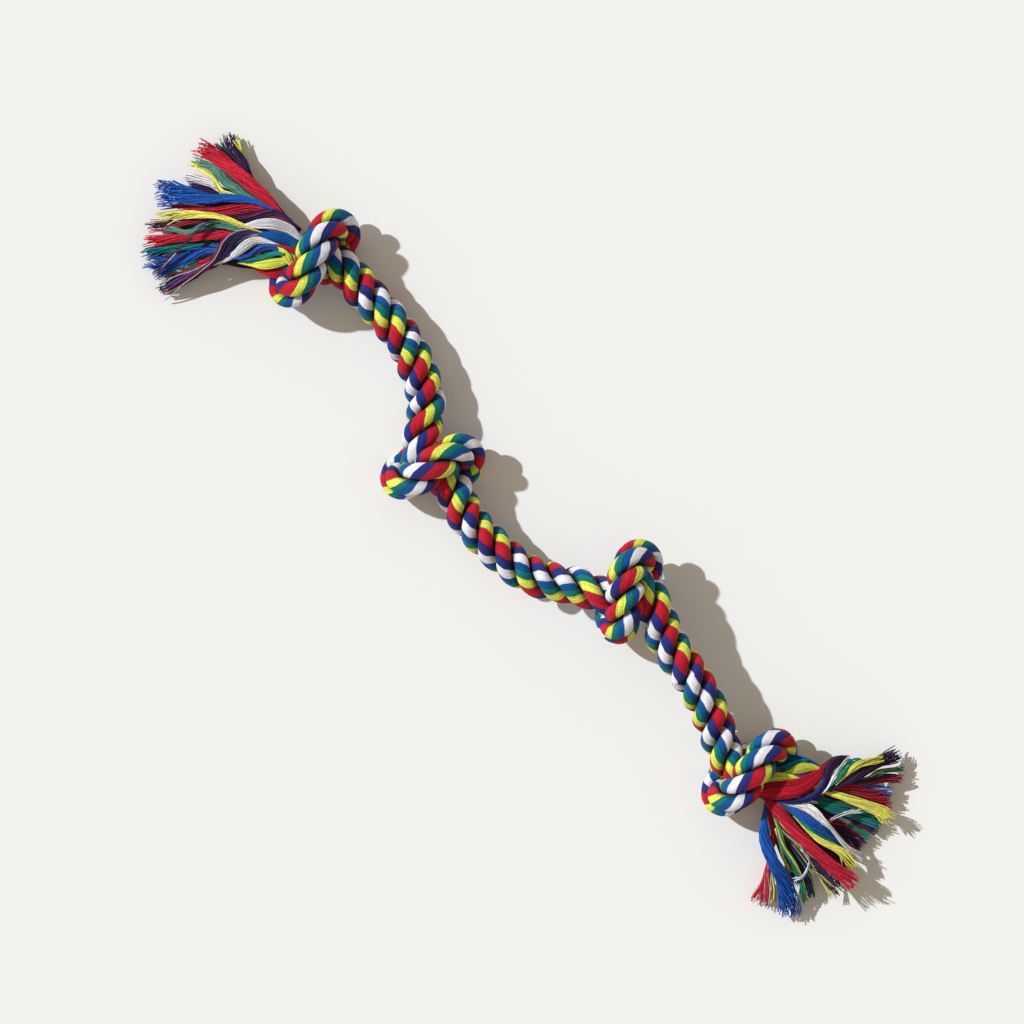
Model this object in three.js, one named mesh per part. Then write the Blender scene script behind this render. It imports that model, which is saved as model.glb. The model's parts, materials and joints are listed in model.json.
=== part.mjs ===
// Rope dog toy: a three-strand cotton rope with four overhand knots and a frayed tassel at each end.
// Millimetres, +Z up, +X from the first tassel to the second, the floor at Z = 0.
import * as THREE from 'three';

// The rope.
const ROPE_DIAMETER = 22;
const STRAND_COUNT = 3;
const LAY_LENGTH = 40;
const STRAND_GAP = 0.7;

// The knots: the pass that lies on top, and the squeezed turns that it holds down.
const KNOT_FRONT_DIAMETER = 18;
const KNOT_CORE_DIAMETER = 13;
const TURN_CLEARANCE = 1.6;
const REST_FLAT_DEPTH = 2.4;

// The bends: each is a ball end of one rope piece in the hollow end of the next.
const BALL_OVER_ROPE = 2.6;
const BEND_CLEARANCE = 0.85;
const BEND_SPACING = 20;

// The tassels.
const TASSEL_NECK_DIAMETER = 20;
const LOCK_ROOT_DIAMETER = 3.3;
const LOCK_BELLY_DIAMETER = 5.4;
const LOCK_TIP_DIAMETER = 3.6;
const LOCK_CLEARANCE = 0.7;
const NECK_REACH = 0.35;
const FLOOR_CLEARANCE = 0.4;

// Steps of the drawing.
const ROUTE_STEP = 5;
const RING_STEP = 4.2;
const SPLINE_STEPS = 14;
const DRAW_ROUNDS = 420;
const LOCK_POINTS = 22;
const LOCK_ROUNDS = 240;
const LOCK_RING_EVERY = 3;
const LOCK_SIDES = 5;

// Half of an overhand knot, from the middle of its top pass to where the rope leaves it.
// X runs along the rope, Z up, in shares of the knot's size; the last value goes from the core's girth to the front's.
const KNOT_HALF = [
  [0, 0, 1.0, 1.0],
  [-0.06, -0.6, 0.92, 1.0],
  [-0.22, -1.1, 0.45, 0.7],
  [-0.42, -1.2, -0.2, 0.35],
  [-0.62, -0.9, -0.75, 0.1],
  [-0.62, -0.25, -0.9, 0],
  [-0.5, 0.35, -0.62, 0],
  [-0.15, 0.68, -0.1, 0],
  [0.4, 0.52, 0.12, 0.2],
  [1.15, 0.15, 0.05, 0.7],
];

// Each knot: its middle, its heading in degrees, its half length, width and height as laid by hand,
// and the share of the girth that its turns keep when they are drawn tight.
const KNOTS = [
  { middle: [-178, 22, 15.5], heading: 29, long: 15, wide: 15, high: 13.5, girth: 1 },
  { middle: [-48.7, -13.5, 17.5], heading: 10, long: 8.2, wide: 10.5, high: 10.5, girth: 0.86 },
  { middle: [76.7, 15, 30], heading: 55, long: 10.3, wide: 12.9, high: 17, girth: 0.87 },
  { middle: [196.3, -8.8, 16], heading: 20, long: 13.2, wide: 13.2, high: 13.5, girth: 0.93 },
];

// The rope's way from each knot to the next, and from the outer knots to the tassels.
const STRETCHES = [
  [[-157, 28, 17], [-138, 28.5, 16.6], [-117, 26.5, 16.5], [-97.5, 21.2, 16], [-81, 12.5, 15], [-69, 4, 16.5]],
  [[-29, -18, 17.5], [-6, -21, 17.5], [19, -20.5, 17.5], [40, -15.5, 19], [56, 0, 23]],
  [[101, 11, 30], [122, 8.5, 29.5], [144, 3, 27.5], [164, -3.5, 22]],
];
const NECKS = [[[-210, 9, 16], [-202, 10, 16], [-194, 14, 16]], [[211, -3, 16], [218, 2, 16], [225, 4, 16]]];

// Where each tassel's neck bends, and its locks: colour, share of the full girth, the tip's place
// on the floor, the height that the lock runs at, and the height of its tip.
const TASSELS = [
  {
    neck: [-201, 11],
    locks: [
      ['green', 0.85, -257, 40, 16, 11], ['plum', 1.1, -260, 35, 14, 10], ['plum', 1.1, -264, 26, 12, 8],
      ['red', 1.1, -266, 17, 22, 16], ['green', 0.85, -262, 13, 18, 13], ['yellow', 0.85, -264, 11, 15, 11],
      ['white', 1.0, -258, 8, 11, 8], ['blue', 1.25, -263, -14, 24, 14], ['red', 1.0, -257, -17, 19, 9],
      ['plum', 1.0, -257, -30, 21, 9], ['yellow', 1.0, -256, -24, 23, 13],
      ['green', 0.85, -253, -28, 19, 10], ['red', 1.0, -252, -37, 17, 9], ['plum', 1.25, -226, -52, 24, 9],
      ['white', 0.85, -227, -42, 22, 7], ['blue', 1.1, -243, -43, 18, 8], ['green', 0.85, -246, -42, 14, 7],
      ['white', 0.85, -218, -24, 22, 10],
    ],
  },
  {
    neck: [217, 2],
    locks: [
      ['plum', 1.1, 249, 56, 22, 13], ['green', 0.85, 256, 52, 24, 11], ['yellow', 0.85, 257, 50, 24, 11],
      ['plum', 1.0, 258, 48, 17, 11], ['blue', 0.85, 259, 39, 14, 9], ['red', 1.1, 263, 34, 18, 10],
      ['yellow', 1.1, 271, 28, 18, 9], ['green', 1.1, 267, 22, 15, 8], ['plum', 1.0, 270, 18, 13, 8],
      ['plum', 1.1, 270, 8, 9, 6], ['white', 1.0, 272, 1, 24, 12], ['blue', 0.85, 272, -6, 24, 12],
      ['yellow', 1.0, 275, -5, 23, 12], ['red', 1.25, 279, -11, 25, 17], ['plum', 1.25, 276, -19, 16, 12],
      ['green', 0.85, 266, -36, 16, 9], ['blue', 1.25, 269, -49, 23, 8], ['red', 1.1, 250, -54, 14, 7],
    ],
  },
];

const COLOURS = { red: 0xc4233a, yellow: 0xdde23f, green: 0x14806a, blue: 0x1d57a8, white: 0xece9f2, plum: 0x3d2a52 };
const STRAND_COLOURS = ['red', 'blue', 'yellow'];
const STRAND_LETTERS = 'abcdefgh';

const clamp = (value, low, high) => Math.min(high, Math.max(low, value));
const mix = (a, b, t) => a + (b - a) * t;

// A point at parameter t of the Catmull-Rom curve through rows of numbers.
function splineAt(rows, t) {
  const last = rows.length - 1;
  const i = clamp(Math.floor(t), 0, last - 1);
  const u = t - i;
  const b = rows[i];
  const c = rows[i + 1];
  const a = i > 0 ? rows[i - 1] : b.map((v, k) => 2 * v - c[k]);
  const d = i < last - 1 ? rows[i + 2] : c.map((v, k) => 2 * v - b[k]);
  return b.map((v, k) => 0.5 * (2 * v + (c[k] - a[k]) * u + (2 * a[k] - 5 * v + 4 * c[k] - d[k]) * u * u
    + (3 * v - a[k] - 3 * c[k] + d[k]) * u * u * u));
}

// The hand-laid route: rows of x, y, z, rope radius, and how far the point may move while knots are drawn up.
function laidRoute() {
  const rope = ROPE_DIAMETER / 2;
  const core = KNOT_CORE_DIAMETER / 2;
  const front = KNOT_FRONT_DIAMETER / 2;
  const neck = TASSEL_NECK_DIAMETER / 2;
  const rows = NECKS[0].map((point) => [...point, neck, 0]);
  KNOTS.forEach((knot, k) => {
    const cos = Math.cos(THREE.MathUtils.degToRad(knot.heading));
    const sin = Math.sin(THREE.MathUtils.degToRad(knot.heading));
    const back = KNOT_HALF.slice(1).reverse().map(([x, y, z, g]) => [-x, -y, z, g]);
    for (const [x, y, z, girth] of [...back, ...KNOT_HALF]) {
      const px = knot.middle[0] + knot.long * x * cos - knot.wide * y * sin;
      const py = knot.middle[1] + knot.long * x * sin + knot.wide * y * cos;
      rows.push([px, py, knot.middle[2] + knot.high * z, knot.girth * mix(core, front, girth), 1]);
    }
    (STRETCHES[k] ?? []).forEach((point) => rows.push([...point, rope, 0]));
  });
  NECKS[1].forEach((point) => rows.push([...point, neck, 0]));
  return rows;
}

// Even stations along the laid route.
function stations(rows) {
  const dense = [];
  for (let i = 0; i <= (rows.length - 1) * SPLINE_STEPS; i += 1) {
    const t = i / SPLINE_STEPS;
    const j = Math.min(Math.floor(t), rows.length - 2);
    const point = splineAt(rows, t);
    point[3] = mix(rows[j][3], rows[j + 1][3], t - j);
    point[4] = mix(rows[j][4], rows[j + 1][4], t - j);
    dense.push(point);
  }
  const run = [0];
  for (let i = 1; i < dense.length; i += 1) {
    run.push(run[i - 1] + Math.hypot(...[0, 1, 2].map((k) => dense[i][k] - dense[i - 1][k])));
  }
  const total = run[run.length - 1];
  const count = Math.round(total / ROUTE_STEP);
  const out = [];
  let j = 0;
  for (let i = 0; i <= count; i += 1) {
    const s = (total * i) / count;
    while (j < run.length - 2 && run[j + 1] < s) j += 1;
    const u = clamp((s - run[j]) / (run[j + 1] - run[j]), 0, 1);
    out.push(dense[j].map((v, k) => mix(v, dense[j + 1][k], u)));
  }
  return out;
}

// Draws the knots up: turns that touch push apart, and the rope's own stiffness rounds its bends.
function drawUp(points) {
  const n = points.length;
  const radius = points.map((p) => p[3] + TURN_CLEARANCE / 2);
  const ease = points.map((p, i) => (i === 0 || i === n - 1 ? 0 : clamp(p[4] + 0.12, 0, 1)));
  let now = points.map((p) => p.slice(0, 3));
  let step = 0;
  for (let i = 1; i < n; i += 1) step += Math.hypot(...[0, 1, 2].map((k) => now[i][k] - now[i - 1][k])) / (n - 1);
  const bend = (rows) => rows.map((p, i) => (i === 0 || i === n - 1 ? [0, 0, 0]
    : p.map((v, k) => 0.5 * (rows[i - 1][k] + rows[i + 1][k]) - v)));
  for (let round = 0; round < DRAW_ROUNDS; round += 1) {
    const push = now.map(() => [0, 0, 0, 0]);
    for (let i = 0; i < n; i += 1) {
      for (let j = i + 1; j < n; j += 1) {
        const need = radius[i] + radius[j];
        const dx = now[i][0] - now[j][0];
        const dy = now[i][1] - now[j][1];
        const dz = now[i][2] - now[j][2];
        const gap = Math.sqrt(dx * dx + dy * dy + dz * dz) + 1e-9;
        if (gap >= need || (j - i) * step <= 3.2 * Math.min(radius[i], radius[j])) continue;
        const pull = (need - gap) / gap;
        [dx, dy, dz].forEach((v, k) => {
          push[i][k] += pull * v;
          push[j][k] -= pull * v;
        });
        push[i][3] += 1;
        push[j][3] += 1;
      }
    }
    const sag = bend(now);
    const stiff = bend(sag);
    now = now.map((p, i) => p.map((v, k) => v + ease[i] * ((0.5 * push[i][k]) / Math.max(1, push[i][3])
      + 0.05 * sag[i][k] - 0.25 * stiff[i][k])));
    now.forEach((p, i) => {
      p[2] = Math.max(p[2], points[i][3] - REST_FLAT_DEPTH);
    });
  }
  return now;
}

// The drawn-up rope: position, radius, run and frame at any station number.
function makeRope() {
  const laid = stations(laidRoute());
  const drawn = drawUp(laid);
  const rows = drawn.map((p, i) => [...p, laid[i][3]]);
  const run = [0];
  for (let i = 1; i < rows.length; i += 1) {
    run.push(run[i - 1] + Math.hypot(...[0, 1, 2].map((k) => rows[i][k] - rows[i - 1][k])));
  }
  const vec = (t) => new THREE.Vector3(...splineAt(rows, t).slice(0, 3));
  const tangent = (t) => vec(Math.min(t + 0.05, rows.length - 1)).sub(vec(Math.max(t - 0.05, 0))).normalize();
  const across = [];
  let side = new THREE.Vector3(0, 0, 1);
  for (let i = 0; i < rows.length; i += 1) {
    side = side.clone().addScaledVector(tangent(i), -side.dot(tangent(i))).normalize();
    across.push(side);
  }
  const at = (t) => {
    const i = clamp(Math.floor(t), 0, rows.length - 2);
    const u = t - i;
    const along = tangent(t);
    const first = across[i].clone().lerp(across[i + 1], u);
    first.addScaledVector(along, -first.dot(along)).normalize();
    return {
      point: vec(t), along, first, second: along.clone().cross(first),
      radius: mix(rows[i][3], rows[i + 1][3], u), run: mix(run[i], run[i + 1], u),
    };
  };
  const nearest = ([x, y], from, to) => {
    let best = from;
    for (let t = from; t <= to; t += 0.01) {
      const a = splineAt(rows, t);
      const b = splineAt(rows, best);
      if (Math.hypot(a[0] - x, a[1] - y) < Math.hypot(b[0] - x, b[1] - y)) best = t;
    }
    return best;
  };
  return { rows, run, at, nearest, last: rows.length - 1 };
}

const rope = makeRope();

// The least gap between two turns of the rope, measured on its stations.
let leastGap = Infinity;
rope.rows.forEach((a, i) => rope.rows.slice(i + 1).forEach((b, j) => {
  if ((j + 1) * ROUTE_STEP < 3.6 * Math.max(a[3], b[3])) return;
  leastGap = Math.min(leastGap, Math.hypot(a[0] - b[0], a[1] - b[1], a[2] - b[2]) - a[3] - b[3]);
}));
console.log(`least gap between turns of the rope: ${leastGap.toFixed(2)} mm`);

// A point of one strand: k counts strands, share and angle place it in the rope's round section.
function strandPoint(k, t, share, angle) {
  const here = rope.at(t);
  const turn = 2 * Math.PI * (here.run / LAY_LENGTH + k / STRAND_COUNT) + angle;
  const reach = share * here.radius;
  const point = here.point.addScaledVector(here.first, reach * Math.cos(turn));
  return point.addScaledVector(here.second, reach * Math.sin(turn));
}

// The station where that point meets a ball, going one way from the ball's centre.
function meetBall(k, share, angle, cut) {
  const centre = rope.at(cut.at).point;
  let near = cut.at;
  let far = cut.at + cut.side * ((cut.radius + 6) / ROUTE_STEP);
  for (let i = 0; i < 30; i += 1) {
    const mid = (near + far) / 2;
    if (strandPoint(k, mid, share, angle).distanceTo(centre) < cut.radius) near = mid;
    else far = mid;
  }
  return near;
}

// One strand's section: round outside, a wedge towards the rope's heart.
function strandSection() {
  const wedge = Math.PI / STRAND_COUNT;
  const outline = [[1, 0], [0.95, 0.45], [0.72, 0.83], [0, 0], [0.72, -0.83], [0.95, -0.45]];
  return outline.map(([share, angle]) => ({ share, angle: angle * wedge }));
}

// A closed body from rings of points, with a middle point for each end.
function skin(rings, first, last) {
  const sides = rings[0].length;
  const points = [...rings.flat(), first, last];
  const faces = [];
  const id = (i, j) => i * sides + (j % sides);
  const ends = rings.length * sides;
  for (let j = 0; j < sides; j += 1) {
    faces.push(ends, id(0, j + 1), id(0, j));
    faces.push(ends + 1, id(rings.length - 1, j), id(rings.length - 1, j + 1));
    for (let i = 0; i < rings.length - 1; i += 1) {
      const [a, b, c, d] = [id(i, j), id(i, j + 1), id(i + 1, j + 1), id(i + 1, j)];
      faces.push(a, b, c, a, c, d);
    }
  }
  const geometry = new THREE.BufferGeometry();
  const flat = points.flatMap((p) => [p.x, p.y, Math.max(0, p.z)]);
  geometry.setAttribute('position', new THREE.Float32BufferAttribute(flat, 3));
  geometry.setIndex(faces);
  geometry.computeVertexNormals();
  return geometry;
}

// One strand of the rope from one cut to the next.
function strand(k, start, end) {
  const heart = STRAND_GAP / (2 * Math.sin(Math.PI / STRAND_COUNT));
  const section = strandSection();
  const shareAt = (part, t) => (part.share === 0 ? heart / rope.at(t).radius : part.share);
  const cutRing = (cut) => section.map((part) => {
    const t = meetBall(k, shareAt(part, cut.at), part.angle, cut);
    return { t, point: strandPoint(k, t, shareAt(part, t), part.angle) };
  });
  const cutMiddle = (cut) => strandPoint(k, meetBall(k, 0.55, 0, cut), 0.55, 0);
  const opening = cutRing(start);
  const closing = cutRing(end);
  const from = Math.max(...opening.map((v) => v.t)) + 0.4;
  const to = Math.min(...closing.map((v) => v.t)) - 0.4;
  const count = Math.max(2, Math.round((rope.at(to).run - rope.at(from).run) / RING_STEP));
  const rings = [opening.map((v) => v.point)];
  for (let i = 0; i <= count; i += 1) {
    const t = mix(from, to, i / count);
    rings.push(section.map((part) => strandPoint(k, t, shareAt(part, t), part.angle)));
  }
  rings.push(closing.map((v) => v.point));
  return skin(rings, cutMiddle(start), cutMiddle(end));
}

// Places of a tassel's locks in the neck: an outer ring of two thirds of them round an inner ring.
function lockPlaces(count) {
  const inner = Math.round(count / 3);
  const outer = count - inner;
  const reach = (TASSEL_NECK_DIAMETER - LOCK_ROOT_DIAMETER - LOCK_CLEARANCE) / 2;
  const places = [];
  for (let i = 0; i < outer; i += 1) places.push([reach, (2 * Math.PI * (i + 0.25)) / outer]);
  for (let i = 0; i < inner; i += 1) {
    places.push([reach - LOCK_ROOT_DIAMETER - LOCK_CLEARANCE, (2 * Math.PI * (i + 0.4)) / inner]);
  }
  return places.map(([r, a]) => ({ across: r * Math.cos(a), up: r * Math.sin(a) })).sort((p, q) => q.across - p.across);
}

// A lock's radius along its length: thin at the neck, full in the belly, drawn in at the tip.
function lockRadius(u, girth) {
  const belly = Math.sin(Math.PI * clamp(u / 0.9, 0, 1)) ** 0.8;
  return 0.5 * mix(mix(LOCK_ROOT_DIAMETER, girth * LOCK_TIP_DIAMETER, u), girth * LOCK_BELLY_DIAMETER, belly);
}

// The locks of one tassel fanned out from the neck and eased apart, as rows of points from neck to tip.
function fanLocks(tassel, centre, outward, ballRadius) {
  const aside = new THREE.Vector3(0, 0, 1).cross(outward).normalize();
  const up = aside.clone().cross(outward).normalize();
  up.multiplyScalar(Math.sign(up.z));
  const order = tassel.locks.map(([, , x, y], i) => {
    const away = new THREE.Vector3(x - centre.x, y - centre.y, 0).normalize();
    return { i, bearing: away.dot(aside) };
  });
  order.sort((a, b) => b.bearing - a.bearing);
  const places = lockPlaces(tassel.locks.length);
  const locks = [];
  order.forEach(({ i }, rank) => {
    const place = places[rank];
    const [, , x, y, run, lift] = tassel.locks[i];
    const neckEnd = centre.clone().addScaledVector(aside, place.across).addScaledVector(up, place.up);
    const inward = Math.sqrt(ballRadius ** 2 - place.across ** 2 - place.up ** 2);
    const root = neckEnd.clone().addScaledVector(outward, -inward);
    const tip = new THREE.Vector3(x, y, lift);
    const length = tip.distanceTo(neckEnd);
    const knee = neckEnd.clone().addScaledVector(outward, NECK_REACH * length);
    const bow = tip.clone().lerp(neckEnd, NECK_REACH).setZ(run);
    const curve = new THREE.CubicBezierCurve3(neckEnd, knee, bow, tip);
    locks[i] = [root, ...curve.getSpacedPoints(LOCK_POINTS - 2)];
  });
  const radius = tassel.locks.map(([, girth]) => Array.from(
    { length: LOCK_POINTS },
    (_, p) => lockRadius(p / (LOCK_POINTS - 1), girth),
  ));
  for (let round = 0; round < LOCK_ROUNDS; round += 1) {
    const push = locks.map((points) => points.map(() => new THREE.Vector3()));
    for (let a = 0; a < locks.length; a += 1) {
      for (let b = a + 1; b < locks.length; b += 1) {
        for (let p = 2; p < LOCK_POINTS; p += 1) {
          for (let q = 2; q < LOCK_POINTS; q += 1) {
            const need = radius[a][p] + radius[b][q] + LOCK_CLEARANCE;
            const gap = locks[a][p].distanceTo(locks[b][q]) + 1e-9;
            if (gap >= need) continue;
            const apart = locks[a][p].clone().sub(locks[b][q]).multiplyScalar((0.3 * (need - gap)) / gap);
            push[a][p].add(apart);
            push[b][q].sub(apart);
          }
        }
      }
    }
    locks.forEach((points, a) => {
      const before = points.map((v) => v.clone());
      for (let p = 2; p < LOCK_POINTS; p += 1) {
        points[p].add(push[a][p].clampLength(0, 0.6));
        if (p < LOCK_POINTS - 1) {
          points[p].addScaledVector(before[p - 1].clone().add(before[p + 1]).multiplyScalar(0.5).sub(before[p]), 0.25);
        }
        points[p].z = Math.max(points[p].z, radius[a][p] + FLOOR_CLEARANCE);
      }
    });
  }
  return locks;
}

// One lock's solid: rings along its points, its root rounded to the ball of the neck.
function lockSolid(points, girth, centre, outward, ballRadius) {
  const picks = [0, 1];
  for (let p = 1 + LOCK_RING_EVERY; p < LOCK_POINTS - 1; p += LOCK_RING_EVERY) picks.push(p);
  picks.push(LOCK_POINTS - 1);
  const toBall = (point) => {
    const away = point.clone().sub(centre);
    const along = away.dot(outward);
    const out = away.lengthSq() - along * along;
    return point.clone().addScaledVector(outward, -Math.sqrt(ballRadius ** 2 - out) - along);
  };
  const rings = picks.map((p) => {
    const along = points[Math.min(p + 1, LOCK_POINTS - 1)].clone().sub(points[Math.max(p - 1, 0)]).normalize();
    const first = new THREE.Vector3(0, 0, 1).addScaledVector(along, -along.z).normalize();
    const second = along.clone().cross(first);
    const r = lockRadius(p / (LOCK_POINTS - 1), girth);
    return Array.from({ length: LOCK_SIDES }, (_, j) => {
      const a = (2 * Math.PI * j) / LOCK_SIDES;
      const point = points[p].clone().addScaledVector(first, r * Math.cos(a)).addScaledVector(second, r * Math.sin(a));
      return p === 0 ? toBall(point) : point;
    });
  });
  return skin(rings, toBall(points[0]), points[LOCK_POINTS - 1]);
}

function material(colour) {
  return new THREE.MeshStandardMaterial({ color: COLOURS[colour], roughness: 0.95, metalness: 0 });
}

const group = new THREE.Group();

function add(name, geometry, colour) {
  const mesh = new THREE.Mesh(geometry, material(colour));
  mesh.name = name;
  group.add(mesh);
}

// Where the rope bends: each stretch has a swinging bend and a lifting bend either side of its middle.
const knotStations = KNOTS.map(({ middle: [x, y] }) => {
  let best = 0;
  rope.rows.forEach((p, i) => {
    const b = rope.rows[best];
    if (p[2] - Math.hypot(p[0] - x, p[1] - y) > b[2] - Math.hypot(b[0] - x, b[1] - y)) best = i;
  });
  return best;
});
const stretchBends = STRETCHES.map((points, k) => {
  const ends = [points[0], points[points.length - 1]]
    .map((p) => rope.run[Math.round(rope.nearest(p, knotStations[k], knotStations[k + 1]))]);
  const middle = (ends[0] + ends[1]) / 2;
  return [-1, 1].map((side) => {
    const run = middle + (side * BEND_SPACING) / 2;
    const i = rope.run.findIndex((v) => v > run) - 1;
    return i + (run - rope.run[i]) / (rope.run[i + 1] - rope.run[i]);
  });
});
const neckBends = TASSELS.map(({ neck }, k) => (k === 0
  ? rope.nearest(neck, 0, knotStations[0]) : rope.nearest(neck, knotStations[3], rope.last)));
const ball = ROPE_DIAMETER / 2 + BALL_OVER_ROPE;
const neckBall = TASSEL_NECK_DIAMETER / 2 + BALL_OVER_ROPE;

// The knots and the rope pieces between them.
const knotStart = [{ at: neckBends[0], side: 1, radius: neckBall + BEND_CLEARANCE },
  ...stretchBends.map((b) => ({ at: b[1], side: 1, radius: ball + BEND_CLEARANCE }))];
const knotEnd = [...stretchBends.map((b) => ({ at: b[0], side: -1, radius: ball + BEND_CLEARANCE })),
  { at: neckBends[1], side: -1, radius: neckBall + BEND_CLEARANCE }];
for (let k = 0; k < STRAND_COUNT; k += 1) {
  const colour = STRAND_COLOURS[k % STRAND_COLOURS.length];
  KNOTS.forEach((_, i) => add(`knot_${i + 1}_strand_${STRAND_LETTERS[k]}`, strand(k, knotStart[i], knotEnd[i]), colour));
  stretchBends.forEach((b, i) => add(
    `stretch_${i + 1}_strand_${STRAND_LETTERS[k]}`,
    strand(k, { at: b[0], side: -1, radius: ball }, { at: b[1], side: 1, radius: ball }),
    colour,
  ));
}

// The tassels' locks of yarn.
TASSELS.forEach((tassel, k) => {
  const here = rope.at(neckBends[k]);
  const outward = here.along.clone().multiplyScalar(k === 0 ? -1 : 1);
  const locks = fanLocks(tassel, here.point, outward, neckBall);
  locks.forEach((points, i) => {
    const [colour, girth] = tassel.locks[i];
    const name = `tassel_${k + 1}_lock_${String(i + 1).padStart(2, '0')}_${colour}`;
    add(name, lockSolid(points, girth, here.point, outward, neckBall), colour);
  });
});

// The part's own place: its box stands on the floor with its middle over the origin.
const box = new THREE.Box3().setFromObject(group);
const shift = box.getCenter(new THREE.Vector3()).setZ(box.min.z);
group.children.forEach((mesh) => mesh.geometry.translate(-shift.x, -shift.y, -shift.z));
const bends = [neckBends[0], ...stretchBends.flat(), neckBends[1]].map((t) => rope.at(t));
console.log(`middle of the box ${shift.x.toFixed(2)} ${shift.y.toFixed(2)}, bends at`);
bends.forEach(({ point, along }) => console.log([...point.sub(shift), ...along].map((v) => v.toFixed(3)).join(' ')));

export default group;
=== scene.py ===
"""Rope dog toy: a laid cotton rope with four overhand knots and two frayed tassels, on a pale floor.

Lengths are written in millimetres in the frame of the part's source, before its box is centred, and
become metres in the part's frame when a mesh is made.
"""

from __future__ import annotations

import json
import logging
import math
import random
from dataclasses import dataclass, field
from enum import Enum

import bmesh
import bpy
import numpy as np
from bpy.types import Material, Node, NodeSocket, Object
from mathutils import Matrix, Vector

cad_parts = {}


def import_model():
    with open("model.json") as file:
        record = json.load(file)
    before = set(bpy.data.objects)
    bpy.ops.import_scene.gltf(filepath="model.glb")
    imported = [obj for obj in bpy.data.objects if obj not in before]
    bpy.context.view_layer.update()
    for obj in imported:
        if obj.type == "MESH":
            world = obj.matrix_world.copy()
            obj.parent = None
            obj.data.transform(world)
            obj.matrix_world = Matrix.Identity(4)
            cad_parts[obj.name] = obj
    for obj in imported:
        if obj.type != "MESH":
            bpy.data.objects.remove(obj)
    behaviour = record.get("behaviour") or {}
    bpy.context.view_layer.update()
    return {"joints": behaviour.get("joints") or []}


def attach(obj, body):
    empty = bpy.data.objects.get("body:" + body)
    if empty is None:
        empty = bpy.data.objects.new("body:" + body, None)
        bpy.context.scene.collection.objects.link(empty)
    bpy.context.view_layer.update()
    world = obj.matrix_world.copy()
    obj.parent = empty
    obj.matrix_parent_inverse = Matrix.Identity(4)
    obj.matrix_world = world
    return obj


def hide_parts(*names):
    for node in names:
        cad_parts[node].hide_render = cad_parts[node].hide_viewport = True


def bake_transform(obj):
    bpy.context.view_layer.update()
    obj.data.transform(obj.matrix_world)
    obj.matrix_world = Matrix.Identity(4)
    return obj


LOG = logging.getLogger("rope_toy")
MILLIMETRE = 0.001
# Middle of the solids' box in the source's frame, in millimetres.
MIDDLE = np.array([6.48, 1.11, 0.0])
TURN = 2.0 * math.pi
UP = np.array([0.0, 0.0, 1.0])

Colour = tuple[float, float, float, float]
Span = tuple[float, float]


def linear(red: int, green: int, blue: int) -> Colour:
    """Turns a display colour into the linear colour that shaders take.

    Args:
        red: Red, 0 to 255.
        green: Green, 0 to 255.
        blue: Blue, 0 to 255.

    Returns:
        The linear colour with full alpha.
    """
    shades = [c / 255.0 for c in (red, green, blue)]
    low = [c / 12.92 if c <= 0.04045 else ((c + 0.055) / 1.055) ** 2.4 for c in shades]
    return (low[0], low[1], low[2], 1.0)


class Yarn(Enum):
    """The six colours of cotton yarn, as they look in the laid rope and in the loose tassels."""

    RED = ((196, 24, 50), (202, 36, 62))
    YELLOW = ((230, 237, 94), (236, 230, 110))
    GREEN = ((4, 119, 120), (30, 136, 110))
    BLUE = ((6, 86, 163), (30, 92, 190))
    WHITE = ((245, 244, 254), (250, 249, 254))
    PLUM = ((38, 47, 126), (63, 40, 80))

    @property
    def laid(self) -> Colour:
        """The colour in the laid rope."""
        return linear(*self.value[0])

    @property
    def loose(self) -> Colour:
        """The colour in the tassels."""
        return linear(*self.value[1])

    @property
    def slot(self) -> str:
        """The record's material slot of this yarn."""
        return self.name.lower()


class Strand(Enum):
    """The rope's three strands: each one's letter, and the yarn whose slot it takes."""

    FIRST = ("a", Yarn.RED)
    SECOND = ("b", Yarn.BLUE)
    THIRD = ("c", Yarn.YELLOW)

    @property
    def letter(self) -> str:
        """The letter that ends the strand's pieces' names."""
        return self.value[0]

    @property
    def slot(self) -> str:
        """The record's material slot of this strand."""
        return self.value[1].slot

    @property
    def number(self) -> int:
        """The strand's place in the rope, from 0."""
        return list(Strand).index(self)


class Bend(Enum):
    """Which half of a stretch a rope piece is, named for the bend that it covers."""

    SWING = "swing"
    LIFT = "lift"


def along_spline(rows: np.ndarray, places: np.ndarray) -> np.ndarray:
    """Reads a Catmull-Rom curve through rows of numbers.

    Args:
        rows: One row for each point of the curve.
        places: Row numbers, with fractions, to read the curve at.

    Returns:
        One row for each place.
    """
    count = len(rows)
    first = np.clip(np.floor(places).astype(int), 0, count - 2)
    u = (places - first)[:, None]
    padded = np.vstack([2 * rows[0] - rows[1], rows, 2 * rows[-1] - rows[-2]])
    a, b, c, d = (padded[first + k] for k in range(4))
    cubic = (3 * b - a - 3 * c + d) * u**3
    return 0.5 * (2 * b + (c - a) * u + (2 * a - 5 * b + 4 * c - d) * u**2 + cubic)


def run_of(points: np.ndarray) -> np.ndarray:
    """Gives the length run along points up to each of them, in their own unit."""
    steps = np.linalg.norm(np.diff(points[:, :3], axis=0), axis=1)
    return np.concatenate([[0.0], np.cumsum(steps)])


def spaced_evenly(rows: np.ndarray, count: int, run: np.ndarray) -> np.ndarray:
    """Reads rows at even steps of their run.

    Args:
        rows: Rows of numbers.
        count: How many rows to read.
        run: The length run up to each row.

    Returns:
        The new rows.
    """
    even = np.linspace(0.0, run[-1], count)
    return np.stack([np.interp(even, run, column) for column in rows.T], axis=1)


def unit(vectors: np.ndarray) -> np.ndarray:
    """Scales each row to length one."""
    return vectors / np.linalg.norm(vectors, axis=-1, keepdims=True)


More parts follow.
